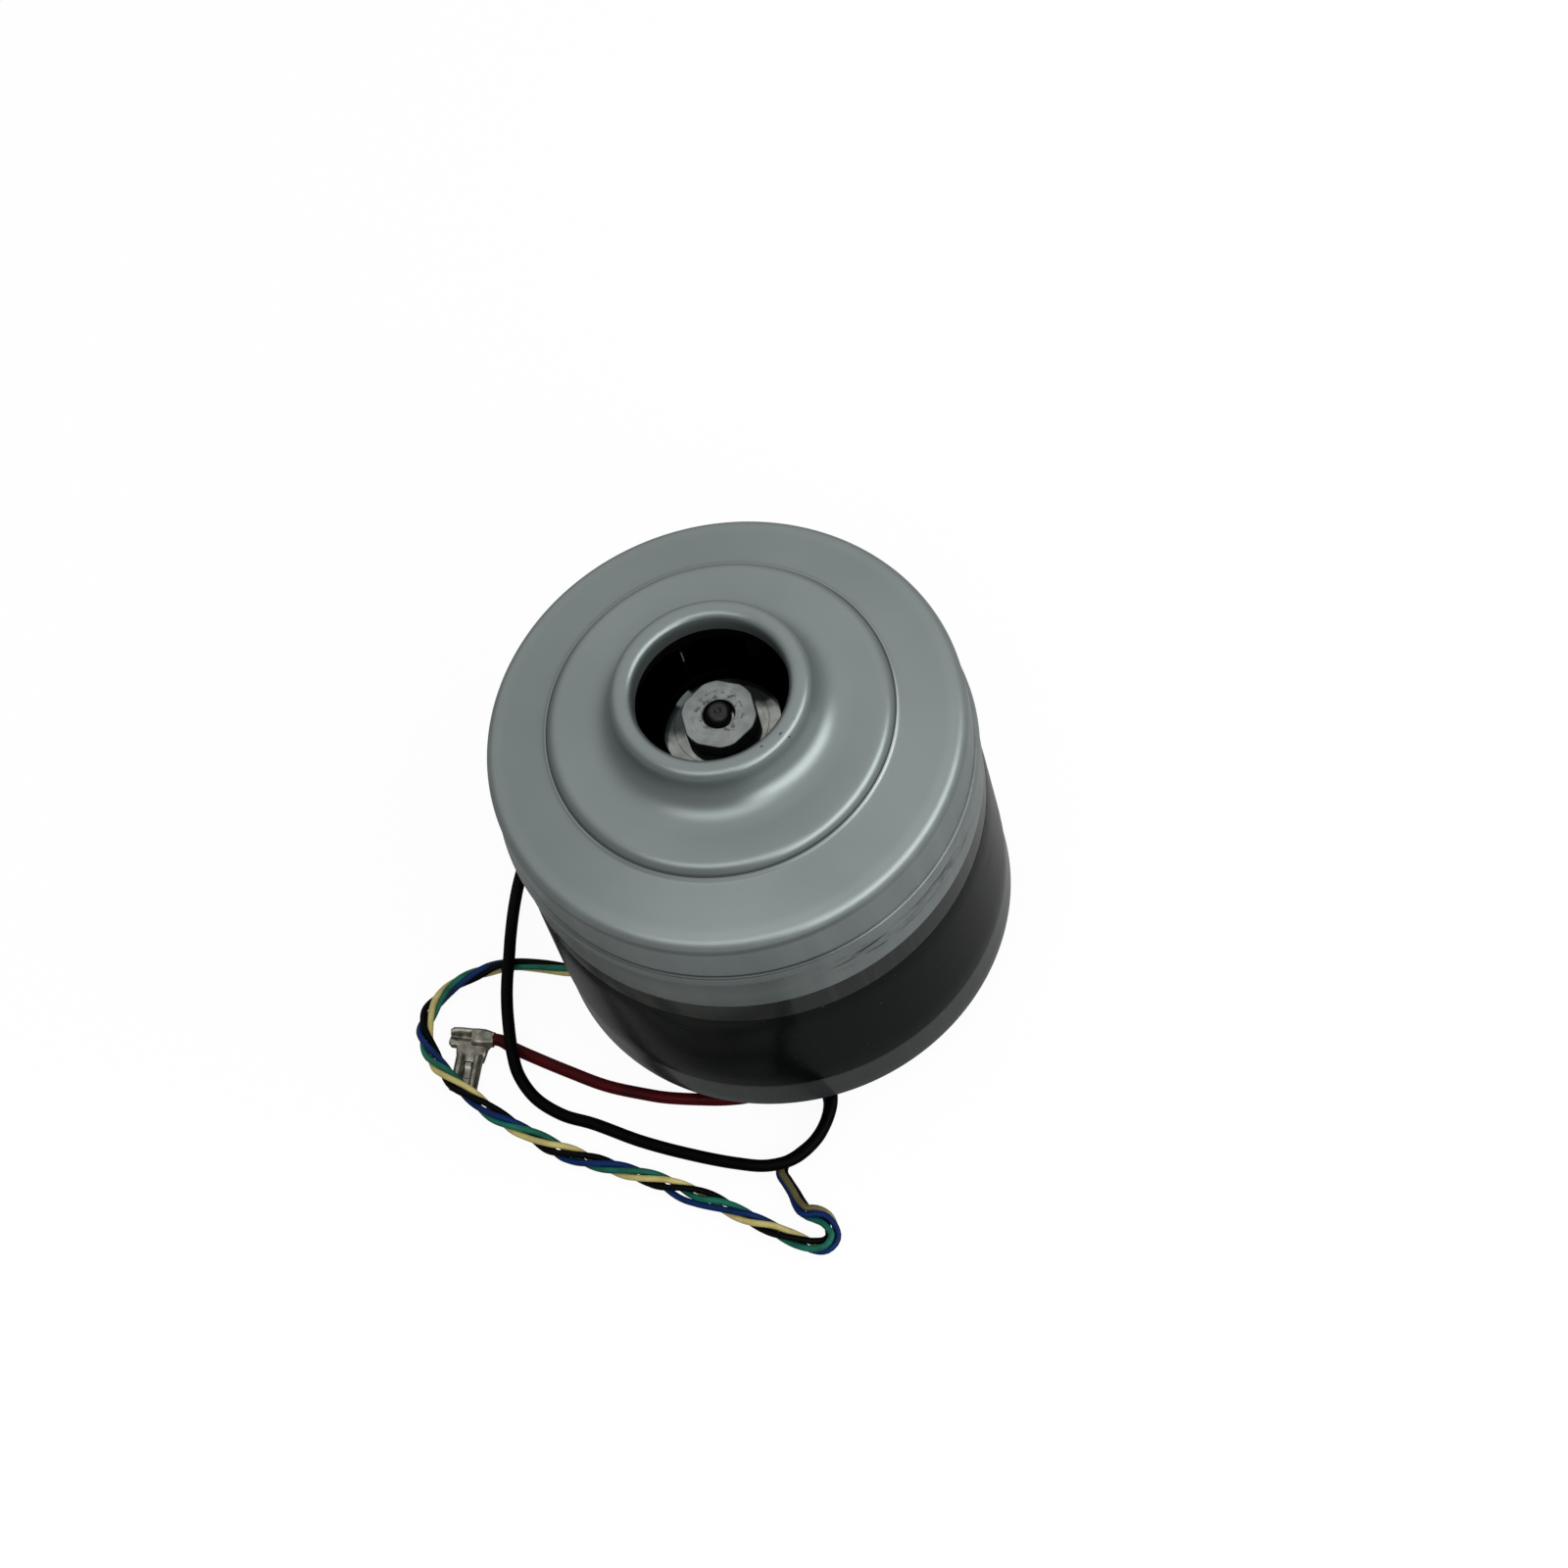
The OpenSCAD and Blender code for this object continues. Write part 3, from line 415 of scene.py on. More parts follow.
def nut_steel():
    """Turned steel nut: ring-shaped tool marks on its face, grime round the recess, painted shade on its
    sides and in its recess, and a painted glint in the recess.
    """
    f = Finish("nut_steel")
    rings = f.rings(3200, 3)
    cloud = f.noise(300, 3.0)
    grime = f.rise(f.noise(820, 3.0), 0.5, 0.62) * f.reaches(3.9, 6.4, 0.9)
    # Painted shade: the recess is near black.
    recess_shade = 1 - f.beyond(3.9, 4.1)
    # Painted shade: the nut's sides are near black and less metallic.
    side = 1 - f.above(Z_NUT - 0.35, Z_NUT - 0.15)
    body = f.mix(f.rise(cloud, 0.3, 0.75), (145, 150, 149), (124, 129, 128))
    body = f.coats(body, (f.rise(rings, 0.45, 0.7) * 0.25, (102, 106, 105)), (grime * 0.65, (62, 63, 64)))
    # Painted highlight: a bright glint on the recess floor, at its front right.
    glint = f.reaches(2.95, 3.5, 0.1) * (1 - f.above(107.2, 107.5)) * f.sector(-75, 0, 10)
    body = f.coats(body, (side * 0.97, (18, 19, 20)), (recess_shade * 0.96, (12, 12, 13)),
                   (glint * 0.9, (225, 226, 226)))
    rough = 0.36 + (cloud - 0.5) * 0.2 + grime * 0.2 + (rings - 0.5) * 0.08 + side * 0.4
    height = rings * 0.6 + cloud * 0.4
    return f.put(body, rough, f.bump(height, 0.2, 0.04), metal=0.75 - side * 0.6, spec=0.1)


def shaft_steel():
    """Ground shaft; its threaded end is blackened."""
    f = Finish("shaft_steel")
    cloud = f.noise(500, 2.0)
    ground = f.noise(2200, 2.0, (0.1, 0.1, 1))
    end = f.above(103, 103.4)
    body = f.mix(f.rise(ground, 0.4, 0.7), (150, 152, 154), (120, 122, 124))
    body = f.mix(end * 0.97, body, (46, 46, 48))
    rough = 0.24 + end * 0.16 + (cloud - 0.5) * 0.2
    return f.put(body, rough, f.bump(ground * 0.5 + cloud * 0.5, 0.2, 0.03), metal=0.9)


def hub_alloy():
    """Polished hub and clamp washer, finely brushed, with stain marks; painted shade on the far half and on
    the disc round the hub, and a painted highlight at the washer's edge.
    """
    f = Finish("hub_alloy")
    cloud = f.noise(240, 3.0)
    brushed = f.noise(1500, 2.0, (1, 0.12, 1))
    stain = f.rise(f.noise(110, 3.0), 0.48, 0.66)
    body = f.mix(f.rise(cloud, 0.3, 0.75), (148, 150, 146), (124, 126, 122))
    body = f.coats(body, (f.rise(brushed, 0.5, 0.75) * 0.4, (98, 100, 97)), (stain * 0.35, (76, 78, 76)))
    # Painted shade: the hub's far half is darkened, near black towards its right, with a wavy edge.
    far_side_shade = f.rise(f.xyz[1] + (cloud - 0.5) * (6 * MM), -1.2 * MM, 2.8 * MM)
    body = f.coats(body, (far_side_shade * 0.85, (34, 40, 42)),
                   (far_side_shade * f.rise(f.xyz[0], 2 * MM, 8 * MM) * 0.85, (8, 9, 10)))
    # Painted highlight: a light, rougher, less metallic arc at the washer's edge behind the nut.
    wear_and_sheen = f.reaches(11.3, 12.9, 0.2) * f.above(103.5, 104) * f.sector(114, 136, 3)
    body = f.mix(wear_and_sheen * 0.9, body, (140, 148, 148))
    # Painted shade: the disc beyond the hub, running under the shroud, is near black.
    outer = f.beyond(15.0, 15.9)
    body = f.mix(outer * 0.92, body, (22, 23, 24))
    rough = 0.04 + cloud * 0.05 + stain * 0.04 + outer * 0.3 + wear_and_sheen * 0.4
    return f.put(body, rough, f.bump(brushed * 0.6 + cloud * 0.4, 0.03, 0.01), metal=1 - wear_and_sheen * 0.75)


def dark_alloy():
    """Dark impeller sheet; the collar's top painted near black as shade, and a painted glint on one vane's
    edge.
    """
    f = Finish("dark_alloy")
    cloud = f.noise(120, 3.0)
    grain = f.noise(2600, 2.0)
    body = f.mix(f.rise(cloud, 0.3, 0.75), (22, 23, 24), (34, 35, 36))
    # Painted shade: the collar above 108 mm, seen through the inlet, is near black.
    neck = f.above(108, 109)
    body = f.mix(neck * 0.9, body, (4, 4, 5))
    # Painted highlight: a bright, smoother strip on one vane's leading edge.
    edge = f.reaches(23.6, 24.15, 0.1) * f.heights(98.5, 103, 0.5) * f.sector(88, 108, 2)
    body = f.mix(edge * 0.85, body, (215, 217, 218))
    rough = 0.5 + (grain - 0.5) * 0.2 - edge * 0.2
    return f.put(body, rough, f.bump(grain, 0.15, 0.04), metal=0.6, spec=0.2)


def rubber():
    """Moulded black rubber with a pale bloom."""
    f = Finish("moulded_rubber")
    bloom = f.noise(70, 4.0)
    grain = f.noise(2600, 2.0)
    body = f.mix(f.rise(bloom, 0.45, 0.8) * 0.6, (24, 24, 25), (52, 52, 53))
    rough = 0.62 + (grain - 0.5) * 0.25
    return f.put(body, rough, f.bump(grain, 0.3, 0.06), spec=0.35)


def cast_alloy():
    """Die-cast alloy with a fine skin and dull flow marks."""
    f = Finish("cast_alloy")
    flow = f.noise(45, 4.0, distortion=1.2)
    grain = f.noise(1800, 3.0)
    body = f.mix(f.rise(flow, 0.3, 0.75), (150, 152, 153), (118, 120, 122))
    rough = 0.48 + (grain - 0.5) * 0.3
    return f.put(body, rough, f.bump(grain * 0.7 + flow * 0.3, 0.35, 0.08), metal=0.9)


def bearing_steel():
    """Polished bearing rings with fine turning lines."""
    f = Finish("bearing_steel")
    rings = f.rings(4200, 2)
    cloud = f.noise(260, 2.0)
    body = f.mix(f.rise(rings, 0.4, 0.7), (200, 202, 204), (168, 170, 173))
    rough = 0.14 + (rings - 0.5) * 0.1 + (cloud - 0.5) * 0.06
    return f.put(body, rough, f.bump(rings, 0.1, 0.02), metal=1.0)


def lamination():
    """Stacked electrical sheet: thin lines along the stack."""
    f = Finish("lamination_stack")
    line = (f.z * (2 * math.pi / (0.5 * MM))).sin()
    cloud = f.noise(110, 3.0)
    body = f.mix(f.rise(line, 0.3, 0.9), (108, 111, 116), (58, 60, 63))
    body = f.mix(f.rise(cloud, 0.5, 0.8) * 0.35, body, (84, 74, 66))
    rough = 0.42 + (cloud - 0.5) * 0.2
    return f.put(body, rough, f.bump(line, 0.25, 0.05), metal=0.8)


def winding_copper():
    """Enamelled copper turns."""
    f = Finish("winding_copper")
    turn = f.node("ShaderNodeTexWave", {"wave_type": "BANDS", "bands_direction": "Z"},
                  {"Vector": f.place, "Scale": 300.0, "Distortion": 0.6, "Detail": 1.0}, 1)
    cloud = f.noise(150, 2.0)
    body = f.mix(f.rise(turn, 0.2, 0.8), (92, 44, 20), (196, 112, 58))
    body = f.mix(f.rise(cloud, 0.45, 0.8) * 0.3, body, (140, 66, 30))
    return f.put(body, 0.28 + (cloud - 0.5) * 0.1, f.bump(turn, 0.6, 0.2), metal=0.9)


def moulded_plastic(name, colour, other, rough=0.45):
    """Moulded plastic with fine spark grain and slight flow clouds."""
    f = Finish(name)
    cloud = f.noise(60, 3.0)
    grain = f.noise(2200, 2.0)
    body = f.mix(f.rise(cloud, 0.3, 0.8), colour, other)
    return f.put(body, rough + (grain - 0.5) * 0.2, f.bump(grain, 0.2, 0.04), spec=0.4)


def board_resin():
    """Green board: solder mask over tracks and a pale weave."""
    f = Finish("board_resin")
    track = f.rise(f.cells(240, (1, 1, 0.01)), 0.3, 0.34)
    weave = (f.xyz[0] * 9000).sin() * (f.xyz[1] * 9000).sin()
    cloud = f.noise(80, 2.0)
    body = f.mix(track, (40, 108, 66), (22, 76, 44))
    body = f.mix(f.rise(cloud, 0.5, 0.8) * 0.25, body, (60, 120, 76))
    return f.put(body, 0.34 + (cloud - 0.5) * 0.15, f.bump(track * 0.8 + weave * 0.1, 0.3, 0.05))


def magnet_grey():
    """Bonded magnet ring, dull grey with fine pores."""
    f = Finish("magnet_grey")
    pores = f.rise(f.cells(1400), 0.1, 0.5)
    cloud = f.noise(90, 3.0)
    body = f.mix(pores, (44, 44, 46), (78, 78, 80))
    body = f.mix(f.rise(cloud, 0.5, 0.8) * 0.3, body, (96, 96, 98))
    return f.put(body, 0.5 + (cloud - 0.5) * 0.2, f.bump(pores, 0.3, 0.04), metal=0.4)


def seal_foam():
    """Open foam of the inlet seal."""
    f = Finish("seal_foam")
    pores = f.rise(f.cells(1100), 0.15, 0.55)
    body = f.mix(pores, (26, 26, 27), (62, 62, 64))
    return f.put(body, 0.9 - pores * 0.1, f.bump(pores, 0.6, 0.2), spec=0.2)


def arc(c_r, c_z, radius, start, end, steps):
    """Points of a section's arc, angles in degrees from outward to upward."""
    turn = [math.radians(start + (end - start) * k / steps) for k in range(steps + 1)]
    return [(c_r + radius * math.cos(a), c_z + radius * math.sin(a)) for a in turn]


def modifier_mesh(piece):
    """Turns a piece with modifiers into a plain mesh."""
    bpy.context.view_layer.update()
    graph = bpy.context.evaluated_depsgraph_get()
    made = bpy.data.meshes.new_from_object(piece.evaluated_get(graph))
    piece.modifiers.clear()
    piece.data = made
    return piece


def settle(piece, sharp=32):
    """Closes seams, points the faces outwards and keeps edges sharper than the angle."""
    work = bmesh.new()
    work.from_mesh(piece.data)
    bmesh.ops.remove_doubles(work, verts=work.verts, dist=1e-7)
    bmesh.ops.recalc_face_normals(work, faces=work.faces)
    work.to_mesh(piece.data)
    work.free()
    piece.data.shade_smooth()
    piece.data.set_sharp_from_angle(angle=math.radians(sharp))
    return piece


def new_tree(name, sockets):
    """A Geometry Nodes tree with a geometry way in and out, and named inputs."""
    tree = bpy.data.node_groups.new(name, "GeometryNodeTree")
    tree.interface.new_socket("Geometry", in_out="INPUT", socket_type="NodeSocketGeometry")
    for label, kind in sockets:
        tree.interface.new_socket(label, in_out="INPUT", socket_type=kind)
    tree.interface.new_socket("Geometry", in_out="OUTPUT", socket_type="NodeSocketGeometry")
    made = Tree(tree)
    way_in = tree.nodes.new("NodeGroupInput")
    inputs = {s.name: Wire(made, s) for s in way_in.outputs if s.name}
    return made, inputs


def close_tree(made, geometry, finish):
    """Realizes instances, sets the finish and leads to the output."""
    real = made.node("GeometryNodeRealizeInstances", None, {0: geometry})
    done = made.node("GeometryNodeSetMaterial", None, {"Geometry": real, "Material": finish})
    end = made.tree.nodes.new("NodeGroupOutput")
    made.tree.links.new(done.socket, end.inputs[0])
    return made.tree


def turning_tree():
    """Turns a section, a chain of points in the XZ plane, round the shaft axis."""
    made, way = new_tree("turned_piece", [("Steps", "NodeSocketInt"), ("Finish", "NodeSocketMaterial")])
    count = made.node("GeometryNodeAttributeDomainSize", {"component": "MESH"}, {0: way["Geometry"]},
                      "Point Count")
    grid = made.node("GeometryNodeMeshGrid", None,
                     {"Size X": 1.0, "Size Y": 1.0, "Vertices X": way["Steps"] + 1, "Vertices Y": count},
                     "Mesh")
    here = made.node("GeometryNodeInputPosition")
    across, along, _ = made.parts(here)
    index = ((along + 0.5) * (count - 1) + 0.5).floor()
    point = made.node("GeometryNodeSampleIndex", {"data_type": "FLOAT_VECTOR", "domain": "POINT"},
                      {"Geometry": way["Geometry"], "Value": here, "Index": index})
    reach, _, height = made.parts(point)
    angle = (across + 0.5) * (2 * math.pi)
    spot = made.vector(reach * angle.cos(), reach * angle.sin(), height)
    moved = made.node("GeometryNodeSetPosition", None, {"Geometry": grid, "Position": spot})
    joined = made.node("GeometryNodeMergeByDistance", None, {"Geometry": moved, "Distance": 1e-7})
    smooth = made.node("GeometryNodeSetShadeSmooth", None, {"Geometry": joined})
    return close_tree(made, smooth, way["Finish"])


def circling_tree():
    """Repeats a shape round the shaft axis."""
    made, way = new_tree("circled_pieces", [("Count", "NodeSocketInt"), ("Turn", "NodeSocketFloat"),
                                            ("Finish", "NodeSocketMaterial")])
    spots = made.node("GeometryNodePoints", None, {"Count": way["Count"]})
    step = made.node("GeometryNodeInputIndex") * (2 * math.pi) / way["Count"] + way["Turn"]
    spin = made.node("FunctionNodeEulerToRotation", None, {0: made.vector(0.0, 0.0, step)})
    copies = made.node("GeometryNodeInstanceOnPoints", None,
                       {"Points": spots, "Instance": way["Geometry"], "Rotation": spin})
    return close_tree(made, copies, way["Finish"])


def grow(tree, name, mesh, values):
    """An object whose mesh the tree makes from the given one."""
    piece = placed(name, mesh)
    change = piece.modifiers.new("made", "NODES")
    change.node_group = tree
    for socket in tree.interface.items_tree:
        if socket.in_out == "INPUT" and socket.name in values:
            change[socket.identifier] = values[socket.name]
    return modifier_mesh(piece)


def turned(name, section, finish, steps=192, sharp=32):
    """A closed ring-shaped piece from its section, points of radius and height in millimetres."""
    loop = [*section, section[0]]
    mesh = bpy.data.meshes.new(name)
    mesh.from_pydata([(r * MM, 0, z * MM) for r, z in loop], [(i, i + 1) for i in range(len(loop) - 1)], [])
    return settle(grow(TURNING, name, mesh, {"Steps": steps, "Finish": finish}), sharp)


def circled(name, mesh, count, turn, finish, sharp=32):
    """Copies of a mesh round the shaft axis."""
    made = grow(CIRCLING, name, mesh, {"Count": count, "Turn": math.radians(turn), "Finish": finish})
    return settle(made, sharp)


def loft(name, rings, finish, sharp):
    """A mesh through rings of points in millimetres."""
    piece = placed(name, bpy.data.meshes.new(name))
    work = bmesh.new()
    rows = [[work.verts.new(Vector(p) * MM) for p in ring] for ring in rings]
    for low, high in zip(rows, rows[1:]):
        n = len(low)
        for k in range(n):
            work.faces.new((low[k], low[(k + 1) % n], high[(k + 1) % n], high[k]))
    work.to_mesh(piece.data)
    work.free()
    piece.data.materials.append(finish)
    return settle(piece, sharp)


def smooth_path(route, step=1.0):
    """A smooth line through a route's points, in metres, with a point about every step millimetres."""
    points = [Vector(p) * MM for p in route]
    ends = [2 * points[0] - points[1], *points, 2 * points[-1] - points[-2]]
    line = []
    for a, b, c, d in zip(ends, ends[1:], ends[2:], ends[3:]):
        t1 = (b - a).length ** 0.5
        t2 = t1 + (c - b).length ** 0.5
        t3 = t2 + (d - c).length ** 0.5
        count = max(2, round((c - b).length / (step * MM)))
        for k in range(count):
            t = t1 + (t2 - t1) * k / count
            ab = a.lerp(b, t / t1)
            bc = b.lerp(c, (t - t1) / (t2 - t1))
            cd = c.lerp(d, (t - t2) / (t3 - t2))
            abc = ab.lerp(bc, t / t2)
            bcd = bc.lerp(cd, (t - t1) / (t3 - t1))
            line.append(abc.lerp(bcd, (t - t1) / (t2 - t1)))
    return [*line, points[-1]]


def path_length(line):
    return sum((b - a).length for a, b in zip(line, line[1:]))


def lead_piece(name, line, radius, finish):
    """A round lead along a line."""
    data = bpy.data.curves.new(name, "CURVE")
    data.dimensions = "3D"
    spline = data.splines.new("POLY")
    spline.points.add(len(line) - 1)
    for point, place in zip(spline.points, line):
        point.co = (*place, 1)
    spline.use_smooth = True
    data.bevel_depth = radius * MM
    data.bevel_resolution = 4
    data.use_fill_caps = True
    data.materials.append(finish)
    return placed(name, data)


def rides(piece, body, slot, *stands_for):
    """Puts a finished piece on its body and hides the nodes that it stands for; slot is not used."""
    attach(piece, body)
    if stands_for:
        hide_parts(*stands_for)
    return piece


# Twist of the signal wires: lay length, wire offset, and the cream wire's quarter turns from the right-hand
# side at places along the run. WIRES gives each wire's quarters behind the cream wire's turn: at first,
# after the blue wire's bow and after the black lead's crossing.
LAY = 30.5
TWIST_R = 1.24
PLUG_PITCH = 2.85
WIRES = {"cream": (0, 0, 1), "green": (2, 1, 0), "blue": (1, 2, 2), "black": (3, 3, 3)}
TURNS = [(-9.5, -43, 1), (-22.2, -82, 1), (-17, -93.5, 3), (-31.2, -85.2, 5), (-54.4, -62.8, 9),
         (-78.2, -43.4, 13), (-97.2, -18, 17), (-96.2, 6.7, 21), (-90.2, 10.6, 22), (-82.9, 11.4, 23),
         (-77, 11.1, 24), (-62, 4.6, 24.7)]
TIGHT_FROM = (-99.5, 3.5)
LEAD_CROSSES = (-77, 11.1)
BLUE_BOW = (-46.5, -69.9)
BOW_OUT = {"blue": 1.2, "green": -0.5}
LOOSE_FROM = (-22.2, -82)


def eased(value):
    """0 to 1 with soft ends."""
    value = max(0.0, min(1.0, value))
    return value * value * (3 - 2 * value)


def wire_lines():
    """Four lines wound loosely round the signal route, fanned out into the plug at its end."""
    core = smooth_path(SIGNAL_ROUTE, 0.8)
    run = [0.0]
    for a, b in zip(core, core[1:]):
        run.append(run[-1] + (b - a).length)

    def reached(x, y):
        return run[min(range(len(core)), key=lambda i: (core[i].xy - Vector((x, y)) * MM).length)]

    marks = [(reached(x, y), quarter * math.pi / 2) for x, y, quarter in TURNS]
    marks.append((run[-1], marks[-1][1] + math.tau * (run[-1] - marks[-1][0]) / (LAY * MM)))

    def cream_turn(s):
        for (s0, a0), (s1, a1) in zip(marks, marks[1:]):
            if s <= s1:
                return a0 + (a1 - a0) * (s - s0) / (s1 - s0)
        return marks[-1][1]

    bow_at, loose_from, tight_from, crossed_at = (reached(*place) for place in
                                                  (BLUE_BOW, LOOSE_FROM, TIGHT_FROM, LEAD_CROSSES))
    lines = {name: [] for name in WIRES}
    side = Vector((1, 0, 0))
    for i, here in enumerate(core):
        ahead = (core[min(i + 1, len(core) - 1)] - core[max(i - 1, 0)]).normalized()
        level = ahead.cross(Vector((0, 0, 1)))
        aim = side.lerp(level.normalized(), 0.25) if level.length > 0.35 else side
        side = (aim - ahead * ahead.dot(aim)).normalized()
        rise = side.cross(ahead)
        fan = eased((run[i] - run[-1] + 16 * MM) / (13 * MM))
        tight = 0.85 * eased((run[i] - tight_from) / (9 * MM))
        free = eased((run[i] - loose_from + 6 * MM) / (12 * MM)) * (1 - tight)
        changed = eased((run[i] - bow_at + 7 * MM) / (14 * MM))
        crossed = eased((run[i] - crossed_at + 5 * MM) / (10 * MM))
        bow = math.exp(-((run[i] - bow_at) / (6 * MM)) ** 2)
        turn = sum(cream_turn(run[i] + k * MM) for k in (-3, -1, 1, 3)) / 4
        for k, (name, (near, middle, far)) in enumerate(WIRES.items()):
            angle = turn - (near + (middle - near) * changed + (far - middle) * crossed) * math.pi / 2
            loose = noise.noise(Vector((run[i] / (13 * MM), k * 7.3, 1.7)))
            sway = 0.5 * noise.noise(Vector((run[i] / (17 * MM), k * 5.1, 9.2)))
            reach = TWIST_R + free * (0.1 + 0.85 * max(0.0, loose)) + BOW_OUT.get(name, 0) * bow
            across = reach * math.cos(angle) * (0.62 + 0.38 * free) + sway * free
            offset = side * across + rise * (reach * math.sin(angle) * 0.97)
            spread = side * ((k - 1.5) * PLUG_PITCH)
            point = here + offset.lerp(spread, fan) * MM
            point.z = max(point.z, (SIGNAL_WIRE_R + 0.03) * MM)
            lines[name].append(point)
    return lines


def strip(name, rows, thickness, finish):
    """Bent sheet through rows of points in millimetres, each row an open line across the sheet."""
    piece = placed(name, bpy.data.meshes.new(name))
    work = bmesh.new()
    made = [[work.verts.new(Vector(p) * MM) for p in row] for row in rows]
    for low, high in zip(made, made[1:]):
        for k in range(len(low) - 1):
            work.faces.new((low[k], low[k + 1], high[k + 1], high[k]))
    work.to_mesh(piece.data)
    work.free()
    thick = piece.modifiers.new("sheet", "SOLIDIFY")
    thick.thickness = thickness * MM
    thick.offset = 0
    piece.data.materials.append(finish)
    return modifier_mesh(piece)


def join(name, pieces):
    """Several meshes as one."""
    work = bmesh.new()
    for piece in pieces:
        work.from_mesh(piece.data)
    whole = bpy.data.meshes.new(name)
    work.to_mesh(whole)
    work.free()
    whole.materials.append(pieces[0].data.materials[0])
    for piece in pieces:
        bpy.data.objects.remove(piece)
    return placed(name, whole)


def rounded(points, count=30):
    """A smooth open line through points of two coordinates, at about even steps."""
    line = smooth_path([(a, b, 0) for a, b in points], 0.1)
    picked = [line[round(k * (len(line) - 1) / (count - 1))] for k in range(count)]
    return [(p.x / MM, p.y / MM) for p in picked]


def flag_terminal(name, route, side, finish):
    """Flag terminal: crimp along the lead, a folded tail behind it and a rolled blade socket to one side."""
    sheet = 0.42
    low = sheet / 2 - 2.0
    barrel = rounded([(-1.3, low), (-2.05, -1.3), (-2.2, -0.1), (-1.7, 1.1), (-0.6, 1.6),
                      (0.6, 1.6), (1.7, 1.1), (2.2, -0.1), (2.05, -1.3), (1.3, low)])
    fold = rounded([(-1.6, low), (-2.3, -1.2), (-2.4, 0.1), (-1.8, 1.0), (-0.9, 0.7), (0.1, -0.4),
                    (1.0, 0.1), (2.0, 0.45), (2.9, -0.2), (2.9, -1.2), (2.2, low)])
    dent = rounded([(-1.6, low), (-2.3, -1.2), (-2.4, 0.0), (-1.8, 0.85), (-0.9, -0.1), (0.1, -1.1),
                    (1.1, -0.4), (2.1, 0.1), (2.8, -0.6), (2.8, -1.3), (2.2, low)])
    roll, middle = 1.1, 5.3
    left, right = 1.6 + roll + sheet / 2, 9.0 - roll - sheet / 2
    socket = arc(left, low + roll, roll, -30, 270, 16) + arc(right, low + roll, roll, 270, 570, 16)
    start = arc(left, low + roll, roll, 150, 270, 16) + arc(right, low + roll, roll, 270, 390, 16)

    def along(line, x, grow):
        return [(x, side * y * grow, z * grow) for y, z in line]

    def across(line, y, grow):
        return [(middle + (x - middle) * grow, side * y, z) for x, z in line]

    crimp = [along(barrel, x, grow) for x, grow in ((-0.4, 0.8), (0.2, 0.84), (1.2, 0.98), (2.3, 1.1),
                                                    (4.4, 1.12), (5.2, 1.02))]
    tail = [along(*row) for row in ((fold, 4.9, 1), (dent, 6.6, 1), (fold, 8.2, 1), (dent, 9.6, 1),
                                    (fold, 10.8, 0.94), (fold, 11.4, 0.72))]
    case = [across(*row) for row in ((start, 2.4, 1.12), (start, 3.6, 1.04), (socket, 5.2, 1),
                                     (socket, 14.2, 1), (socket, 15.0, 1.04))]
    saddle = []
    for y, top, wide in ((1.5, 0.45, 1.06), (3.0, 0.2, 1.02), (4.4, -0.2, 0.98), (5.6, -0.6, 0.94),
                         (6.4, -0.95, 0.9)):
        hump = ((-3.95, low), (-3.8, top - 0.5), (-3.1, top), (3.1, top), (3.8, top - 0.5), (3.95, low))
        saddle.append([(middle + x * wide, side * y, z) for x, z in hump])
    foot = [[(x, side * y, low) for x in (1.4, 4.5, 9.2)] for y in (-2.0, 4.2)]
    neck = [[(x0, side * 1.2, low), (x1, side * 3.4, low)] for x0, x1 in ((0.4, 1.5), (2.6, 2.6))]
    lance = [[(x, side * y, low + z) for x in (4.5, 6.1)]
             for y, z in ((6.3, 0.1), (6.6, 0.75), (7.0, 1.15), (7.5, 1.3), (8.0, 1.15), (8.6, 0.7),
                          (11.0, 0.3))]
    sheets = [strip("sheet", rows, sheet, finish) for rows in (crimp, tail, case, saddle, foot, neck)]
    sheets.append(strip("sheet", lance, 0.3, finish))
    piece = join(name, sheets)
    way = Vector(route[-1]) - Vector(route[-2])
    turn = Matrix.Rotation(math.atan2(way.y, way.x), 4, "Z")
    piece.data.transform(Matrix.Translation(Vector(route[-1]) * MM) @ turn)
    return settle(piece, 40)


